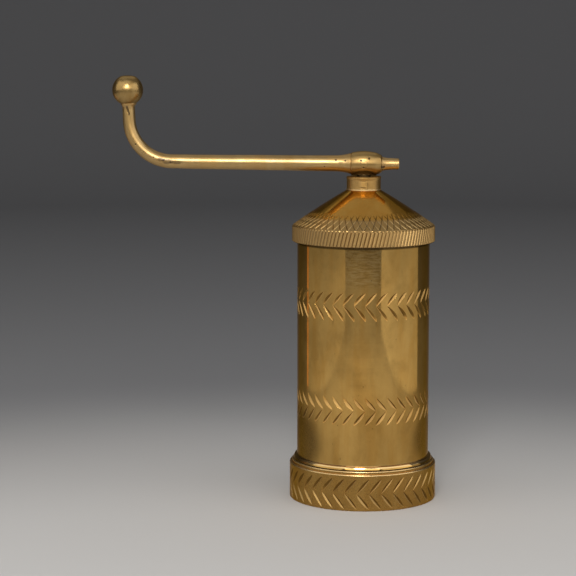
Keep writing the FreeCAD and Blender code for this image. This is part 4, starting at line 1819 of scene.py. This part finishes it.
@dataclass
class CrankArm:
    """The forged arm: tail, tenon, flare, tapered rod, bend and collared post.

    The tail, the flare and the collar are pairs of distance and radius. The tail's distances begin at its
    tip, the flare's at the hub and the collar's at the top of the post.
    """

    name: str = "crank_arm_forged"
    hub: float = HUB_HEIGHT
    tilt_degrees: float = ARM_TILT_DEGREES
    tail_end: float = 17.3
    reach: float = 94.0
    bend_radius: float = 21.0
    bend_degrees: float = 87.0
    post_length: float = 6.5
    segments: int = 40
    tail: tuple[tuple[float, float], ...] = (
        (0.0, 2.2), (0.12, 2.55), (0.4, 2.74), (1.5, 2.78), (3.0, 2.86), (4.6, 2.95), (6.0, 3.05),
        (7.2, 3.2), (8.0, 3.42), (8.35, 3.56), (8.6, 3.4))
    flare: tuple[tuple[float, float], ...] = (
        (6.29, 3.4), (6.32, 4.95), (6.5, 5.1), (6.9, 5.02), (7.6, 4.82), (8.4, 4.62), (9.3, 4.44),
        (10.4, 4.26), (11.6, 4.12), (13.0, 4.01), (14.3, 3.95))
    taper: float = 0.45
    rod_step: float = 1.0
    post_radius: float = 3.5
    post_step: float = 0.9
    collar: tuple[tuple[float, float], ...] = (
        (0.4, 3.12), (0.8, 3.3), (1.1, 3.5), (1.4, 3.62), (1.8, 3.66), (2.4, 3.4), (3.6, 2.2))
    strays: Wave = Wave(0.12, 0.03, 3.0)
    forging: Wave = Wave(0.08, 0.11, 6.0)
    filing: Wave = Wave(0.035, 0.4, 1.0)
    filed_away: float = 0.02
    braze: Wave = Wave(0.25, 0.5, 4.0)
    braze_lean: float = 0.5
    braze_rise: float = 2.0

    @property
    def arc(self) -> float:
        """The length of the bend."""
        return self.bend_radius * math.radians(self.bend_degrees)

    @property
    def top(self) -> float:
        """How far along the path the collar begins."""
        return self.tail_end + self.reach + (self.arc + self.post_length)

    def _stations(self) -> list[tuple[float, float]]:
        """Give (distance along the path, radius) from the tail's tip to the post's top."""
        stations = list(self.tail)
        stations += [(self.tail_end + beyond, radius) for beyond, radius in self.flare]
        start, radius = self.flare[-1]
        for beyond in stepped(start + self.rod_step, self.reach, self.rod_step):
            narrowed = self.taper * (beyond - start) / (self.reach - start)
            stations.append((self.tail_end + beyond, radius - narrowed))
        begin, end = self.tail_end + self.reach, self.arc + self.post_length
        for beyond in stepped(self.post_step, end, self.post_step):
            stations.append((begin + beyond, self.post_radius - self.taper * beyond / end))
        return stations + [(self.top + beyond, radius) for beyond, radius in self.collar]

    def _frame(self, distance: float) -> tuple[Vector, Vector]:
        """Give the point and the heading at a distance along the path, before the arm's tilt."""
        straight, arc = self.tail_end + self.reach, self.arc
        if distance <= straight:
            return Vector((self.tail_end - distance, 0.0, 0.0)), Vector((-1.0, 0.0, 0.0))
        turned = min(distance - straight, arc) / self.bend_radius
        point = Vector((-self.reach - self.bend_radius * math.sin(turned), 0.0,
                        self.bend_radius * (1.0 - math.cos(turned))))
        heading = Vector((-math.cos(turned), 0.0, math.sin(turned)))
        return point + heading * max(0.0, distance - straight - arc), heading

    def build(self) -> list[Piece]:
        """Make the arm.

        Returns:
            The arm as one piece.
        """
        draft = Draft()
        tilt = Euler((0.0, math.radians(self.tilt_degrees), 0.0)).to_matrix()
        hub = Vector((0.0, 0.0, self.hub))
        side = Vector((0.0, 1.0, 0.0))
        rings: list[list[int]] = []
        stations = self._stations()
        for distance, radius in stations:
            centre, heading = self._frame(distance)
            other = heading.cross(side)
            stray = self.strays.at((distance, 0.0, 0.0))
            above = max(0.0, distance - self.top)
            ring = []
            for index in range(self.segments):
                angle = TURN * index / self.segments
                spread = side * math.cos(angle) + other * math.sin(angle)
                here = centre + spread * radius
                swell = self.forging.at(here) + self.filing.at(here) - self.filed_away
                braze = self.braze_lean * max(0.0, spread.x) ** 2 + self.braze.at(here)
                swell += braze * above / self.braze_rise
                place = centre + other * stray + spread * (radius + swell)
                ring.append(draft.point(tuple(tilt @ place + hub)))
            rings.append(ring)
        ends = [[draft.point(tuple(tilt @ self._frame(distance)[0] + hub))]
                for distance in (stations[0][0], stations[-1][0])]
        draft.rings([ends[0]] + rings + [ends[1]])
        mesh = draft.mesh(self.name)
        tidy_mesh(mesh)
        return [Piece(self.name, mesh, Body.CRANK, Slot.CAST, ("crank_arm",))]


@dataclass
class BallKnob:
    """The ball on the post, turned with a slightly flattened crown."""

    name: str = "ball_knob_turned"
    radius: float = 7.55
    seat_radius: float = 3.9
    crown_radius: float = 3.5
    crown_rise: float = 0.42
    crown_parts: tuple[float, ...] = (0.8, 0.6, 0.4, 0.2)
    foot_edge: tuple[tuple[float, float], ...] = ((1.7, 0.1), (0.25, 0.0), (0.0, 0.06))
    rows: int = 44
    segments: int = 72
    slow: Wave = Wave(0.05, 0.15, 8.0)
    fine: Wave = Wave(0.02, 0.5, 2.0)
    turned_away: float = 0.02

    def build(self) -> list[Piece]:
        """Make the knob.

        Returns:
            The knob as one piece.
        """
        low, high = (tuple(value / MM for value in corner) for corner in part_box("knob"))
        x, y = 0.5 * (low[0] + high[0]), 0.5 * (low[1] + high[1])
        seat = math.sqrt(self.radius ** 2 - self.seat_radius ** 2)
        centre = low[2] + seat
        start = math.asin(self.seat_radius / self.radius)
        crown = math.asin(self.crown_radius / self.radius)
        draft = Draft()
        profile = [(self.seat_radius - inward, low[2] + up) for inward, up in self.foot_edge]
        for index in range(1, self.rows + 1):
            angle = start + (math.pi - crown - start) * index / self.rows
            profile.append((self.radius * math.sin(angle), centre - self.radius * math.cos(angle)))
        crest = profile[-1][1]
        for part in self.crown_parts:
            profile.append((self.crown_radius * part, crest + self.crown_rise * (1.0 - part * part)))
        rings: list[list[int]] = [[draft.point((x, y, profile[0][1]))]]
        for radius, height in profile:
            ring = []
            for index in range(self.segments):
                angle = TURN * index / self.segments
                here = (radius * math.cos(angle), radius * math.sin(angle), height)
                wide = radius + (self.slow.at(here) + self.fine.at(here) - self.turned_away)
                ring.append(draft.point((x + wide * math.cos(angle), y + wide * math.sin(angle), height)))
            rings.append(ring)
        rings.append([draft.point((x, y, crest + self.crown_rise))])
        draft.rings(rings)
        mesh = draft.mesh(self.name)
        tidy_mesh(mesh)
        return [Piece(self.name, mesh, Body.CRANK, Slot.CAST, ("knob",))]


# ---------------------------------------------------------------- studio


LAMP_TARGET = (0.0, 0.0, 0.1)


@dataclass(frozen=True)
class SoftLamp:
    """One soft lamp: where it stands round the press, its size and its brightness."""

    name: str
    degrees: float
    distance: float
    height: float
    width: float
    tall: float
    brightness: float
    colour: Colour = (1.0, 0.985, 0.96)
    turn: float = 0.0

    def place(self) -> None:
        """Put the lamp in the scene, facing the middle of the press and then turned a little aside."""
        light = bpy.data.lights.new(self.name, "AREA")
        light.shape = "RECTANGLE"
        light.size, light.size_y = self.width, self.tall
        light.color = self.colour
        light.energy = self.brightness * math.pi * self.width * self.tall
        lamp = bpy.data.objects.new(self.name, light)
        bpy.context.scene.collection.objects.link(lamp)
        angle = math.radians(self.degrees)
        lamp.location = (self.distance * math.sin(angle), -self.distance * math.cos(angle), self.height)
        facing = Vector(LAMP_TARGET) - lamp.location
        facing.rotate(Euler((0.0, 0.0, math.radians(self.turn))))
        lamp.rotation_euler = facing.to_track_quat("-Z", "Y").to_euler()
        lamp.visible_camera = False


@dataclass
class Studio:
    """A round floor that curves up to a low wall, soft lamps and the camera.

    The floor's colour is a painted pool of light: pale near the press, dark further out and up the wall.
    """

    floor_rings: tuple[float, ...] = (0.05, 0.3, 0.8)
    floor_radius: float = 1.7
    floor_segments: int = 96
    floor_roughness: float = 0.85
    cove_radius: float = 0.6
    cove_step_degrees: int = 10
    wall_top: float = 1.5
    floor_colour: Colour = (0.57, 0.56, 0.55)
    # The painted pool of light: its dark colour outside, where it fades from near to far, and its offset
    # ahead.
    outside_pool_colour: Colour = (0.25, 0.25, 0.26)
    near: float = 0.16
    far: float = 0.50
    pool_ahead: float = 0.15
    world_level: float = 0.15
    image_side: float = 576.0
    sensor_width: float = 36.0
    focal_pixels: float = 1981.56
    eye: Place = (0.0, -0.96866, 0.2285)
    pitch: float = 0.128053
    yaw: float = -0.03826
    lamps: tuple[SoftLamp, ...] = (
        SoftLamp("left_low_lamp", -54.2, 0.376, 0.07, 0.60, 0.13, 0.20, turn=-35.8),
        SoftLamp("right_low_lamp", 54.2, 0.376, 0.07, 0.60, 0.13, 0.36, turn=35.8),
        SoftLamp("left_high_lamp", -62.0, 0.75, 0.52, 0.95, 0.80, 0.8),
        SoftLamp("right_high_lamp", 62.0, 0.75, 0.52, 0.95, 0.80, 1.0),
        SoftLamp("left_edge_lamp", -107.5, 0.32, 0.07, 0.02, 0.13, 0.6, (1.0, 0.45, 0.13)),
        SoftLamp("key_lamp", -5.0, 1.0, 0.76, 0.30, 0.40, 14.0),
        SoftLamp("fill_lamp", 0.0, 1.15, 0.60, 1.30, 0.55, 1.9),
        SoftLamp("front_lamp", 0.0, 0.60, 1.45, 1.5, 0.7, 0.5),
        SoftLamp("back_lamp", -165.0, 0.75, 1.5, 1.7, 1.3, 0.25),
    )

    def _floor(self) -> None:
        """Make the floor and its cove as one round sheet, coloured as a painted pool of light round the
        press.
        """
        profile = [(radius, 0.0) for radius in (*self.floor_rings, self.floor_radius)]
        for degrees in range(self.cove_step_degrees, 91, self.cove_step_degrees):
            angle = math.radians(degrees)
            profile.append((self.floor_radius + self.cove_radius * math.sin(angle),
                            self.cove_radius * (1.0 - math.cos(angle))))
        profile.append((self.floor_radius + self.cove_radius, self.wall_top))
        draft = Draft()
        rings: list[list[int]] = [[draft.point((0.0, 0.0, 0.0))]]
        for radius, height in profile:
            angles = [TURN * index / self.floor_segments for index in range(self.floor_segments)]
            rings.append([draft.polar(angle, radius / MM, height / MM) for angle in angles])
        draft.rings(rings)
        mesh = draft.mesh("studio_floor")
        mesh.shade_smooth()
        shader = Shader("studio_floor")
        # Painted pool of light: the pale floor colour near the press fades to the dark colour further out.
        offset = shader.shifted(shader.place(), (0.0, self.pool_ahead / MM, 0.0))
        away = shader.length(offset).step(self.near / MM, self.far / MM)
        colour = shader.tint(away, self.floor_colour, self.outside_pool_colour)
        mesh.materials.append(shader.finish({"Base Color": colour, "Roughness": self.floor_roughness}))
        floor = bpy.data.objects.new("studio_floor", mesh)
        bpy.context.scene.collection.objects.link(floor)

    def _world(self) -> None:
        """Set the plain sky above the wall."""
        world = bpy.data.worlds.new("studio_sky")
        world.use_nodes = True
        background = world.node_tree.nodes["Background"]
        grey = self.world_level
        background.inputs["Color"].default_value = (grey, grey, grey, 1.0)
        background.inputs["Strength"].default_value = 1.0
        bpy.context.scene.world = world

    def _camera(self) -> None:
        """Set the camera."""
        lens = bpy.data.cameras.new("camera")
        lens.sensor_fit = "HORIZONTAL"
        lens.sensor_width = self.sensor_width
        lens.lens = self.focal_pixels / self.image_side * self.sensor_width
        camera = bpy.data.objects.new("camera", lens)
        camera.location = self.eye
        level = math.cos(self.pitch)
        ahead = Vector((math.sin(self.yaw) * level, math.cos(self.yaw) * level, -math.sin(self.pitch)))
        camera.rotation_euler = ahead.to_track_quat("-Z", "Y").to_euler()
        bpy.context.scene.collection.objects.link(camera)
        bpy.context.scene.camera = camera

    def build(self) -> None:
        """Make the whole studio."""
        self._floor()
        self._world()
        self._camera()
        for lamp in self.lamps:
            lamp.place()
        bpy.context.scene.view_settings.view_transform = "Standard"
        LOG.info("studio: %d lamps", len(self.lamps))


# ---------------------------------------------------------------- the press


POLISHED = Brass(
    "polished_brass", seed=1.7, polish=0.07, dullness=0.08, ripple=0.02, turning=0.004,
    engraving=Engraving(dullness=0.66), chatter=Chatter(8.8, 108.5, 0.3, 0.014),
    # Painted shadow in a ring just below the cap's skirt, and painted highlight in a ring on the collar.
    painted_shadow_rings=((126.75, 0.95),), painted_highlight_rings=((20.9, 0.7),),
    # Two broad patches of painted shade that darken the barrel's lower left and lower right.
    marks=(Mark((-30.0, -13.0, 30.0), 21.0, 0.0, stain_and_shade=0.68),
           Mark((31.0, -11.0, 32.0), 16.0, 0.0, stain_and_shade=0.48)))

RING_BRASS = Brass(
    "ring_brass", seed=12.0, bright=(0.46, 0.27, 0.075), warm=(0.41, 0.21, 0.045), polish=0.24,
    tarnish=0.55, stretch=0.3, engraving=Engraving(dullness=0.38),
    # Rings of painted highlight on the rounded edges of the rim and the bead.
    painted_highlight_rings=((17.65, 0.45), (19.05, 0.4)))

# The cap's dark colour is deep so that its cut valleys carry strong painted shade as well as tarnish.
CAP_BRASS = Brass(
    "cap_brass", seed=31.0, bright=(0.68, 0.37, 0.085), warm=(0.62, 0.295, 0.05),
    dark=(0.11, 0.058, 0.018), polish=0.13, tarnish=0.13, dullness=0.08, dull_below=139.8,
    # Painted shadow in a ring on the skirt's bottom edge.
    engraving=Engraving(dullness=0.12, shade=0.95, side_shade_above=135.4), painted_shadow_rings=((127.2, 0.5),))

NECK_BRASS = Brass(
    "neck_brass", seed=8.0, bright=(0.60, 0.37, 0.13), polish=0.36, tarnish=0.3, grain_depth=0.05,
    # A ring of painted highlight on the foot bead.
    scratches=0.7, stretch=0.3, painted_highlight_rings=((152.75, 0.45),),
    # The first mark is painted shadow on the neck's top face, under the eye.
    marks=(Mark((0.0, 0.0, 159.4), 8.1, 0.0, squash=(1.0, 1.0, 2.5)),
           Mark((-0.7, -8.3, 157.0), 2.3, 0.02, stain_and_shade=0.35, squash=(1.0, 1.0, 5.0)),
           Mark((-0.4, -8.3, 153.9), 2.2, 0.03, stain_and_shade=0.6, squash=(1.0, 1.0, 4.0)),
           Mark((2.0, -8.1, 154.9), 2.8, 0.06, stain_and_shade=0.5, squash=(9.0, 1.0, 1.0)),
           Mark((1.2, -8.1, 157.2), 4.6, 0.05, stain_and_shade=0.3, squash=(1.0, 1.0, 16.0)),
           # Painted shade down the neck's right-hand side.
           Mark((8.4, -0.6, 156.0), 3.6, 0.0, stain_and_shade=0.6, squash=(1.0, 1.0, 0.3))))

CAST = Brass(
    "cast_brass", seed=21.0, bright=(0.60, 0.40, 0.155), warm=(0.55, 0.32, 0.09), polish=0.36,
    dullness=0.10, tarnish=0.4, grain=Grain.NONE, grain_depth=0.006, ripple=0.10,
    film=0.55, film_dullness=0.24, film_index=1.6,
    marks=(Mark((-115.5, -3.1, 192.2), 0.8, 0.4, squash=(1.4, 1.0, 0.6)),
           Mark((-115.0, -3.1, 190.9), 0.8, 0.4, squash=(1.3, 1.0, 0.6)),
           Mark((-114.5, -3.1, 189.4), 0.7, 0.4, squash=(1.5, 1.0, 0.6)),
           Mark((-13.6, -3.5, 167.1), 0.55),
           Mark((-9.1, -4.1, 166.8), 0.50),
           Mark((-19.2, -3.6, 163.9), 0.40),
           Mark((-111.6, -3.2, 174.6), 0.5),
           Mark((9.6, -3.0, 163.6), 1.0, 0.4),
           Mark((-99.2, -3.2, 167.0), 1.2, 0.08, stain_and_shade=0.65, squash=(0.5, 0.5, 1.0)),
           Mark((-96.0, -3.4, 166.1), 1.7, 0.06, stain_and_shade=0.6, squash=(0.5, 0.4, 1.0)),
           Mark((-91.6, -3.4, 165.7), 1.4, 0.06, stain_and_shade=0.65, squash=(0.35, 0.4, 1.2)),
           Mark((-102.8, -3.2, 168.2), 0.5, 0.2, stain_and_shade=0.7, squash=(1.0, 0.5, 1.0)),
           Mark((-107.4, -3.2, 170.6), 0.4, 0.2, stain_and_shade=0.6, squash=(1.0, 0.5, 1.0)),
           Mark((-11.4, -3.6, 165.6), 0.9, 0.02, stain_and_shade=0.4, squash=(0.6, 0.4, 1.0))))

EYE_BRASS = Brass(
    "eye_brass", seed=25.0, bright=(0.50, 0.32, 0.112), warm=(0.44, 0.25, 0.065), polish=0.32,
    dullness=0.10, tarnish=0.4, grain=Grain.NONE, grain_depth=0.003, ripple=0.10,
    film=0.25, film_dullness=0.25, film_index=1.6,
    marks=(Mark((0.2, -6.1, 165.3), 1.85, 0.02, stain_and_shade=0.3, ring=True),
           Mark((2.6, -5.5, 168.05), 0.66, 0.3, squash=(1.0, 0.4, 1.0)),
           Mark((-1.33, -6.0, 166.95), 0.55, 0.3, squash=(1.0, 0.4, 1.0)),
           Mark((-0.2, -6.0, 163.55), 0.5, 0.3, squash=(1.0, 0.4, 1.0)),
           Mark((8.9, -3.6, 163.9), 1.0, 0.4),
           Mark((8.9, -3.6, 167.6), 1.4, 0.3, squash=(3.0, 0.7, 0.7)),
           # Painted shade on the eye's underside, above the neck.
           Mark((0.0, 0.0, 159.0), 7.2, 0.0, stain_and_shade=0.92, squash=(0.3, 0.3, 4.5))))

PIN_BRASS = replace(EYE_BRASS, name="pin_brass", polish=0.33, marks=())

BALL_BRASS = Brass(
    "ball_brass", seed=33.0, bright=(0.50, 0.33, 0.12), warm=(0.38, 0.215, 0.055), polish=0.27,
    dullness=0.14, tarnish=0.6, grain=Grain.NONE, grain_depth=0.006, ripple=0.08,
    film=0.3, film_dullness=0.25, film_index=1.6)

INNER = Brass("inner_brass", seed=40.0, polish=0.30, tarnish=0.6, dullness=0.2)
PLAIN_NODES = ("die", "piston", "piston_washer", "piston_nut")


def dress_plain_nodes() -> None:
    """Give the turned pieces inside the press their finish."""
    material = INNER.material()
    for node in PLAIN_NODES:
        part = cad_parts[node]
        part.data.materials.clear()
        part.data.materials.append(material)
        LOG.info("%s keeps its own shape", node)


def main() -> None:
    """Build the press piece by piece and report each one."""
    logging.basicConfig(level=logging.INFO, format="%(name)s: %(message)s")
    Studio().build()
    array, thread = RingArray(), ScrewThread()
    spindle = Spindle()
    finishes = ((BaseRing().build(array), RING_BRASS), (Barrel().build(array), POLISHED),
                (ScrewCap().build(array), CAP_BRASS), (Neck().build(), NECK_BRASS),
                (spindle.build(thread), EYE_BRASS), ([spindle.pin()], PIN_BRASS),
                (CrankArm().build(), CAST), (BallKnob().build(), BALL_BRASS))
    for pieces, finish in finishes:
        for piece in pieces:
            piece.place(finish)
    dress_plain_nodes()


if __name__ == "__main__":
    main()
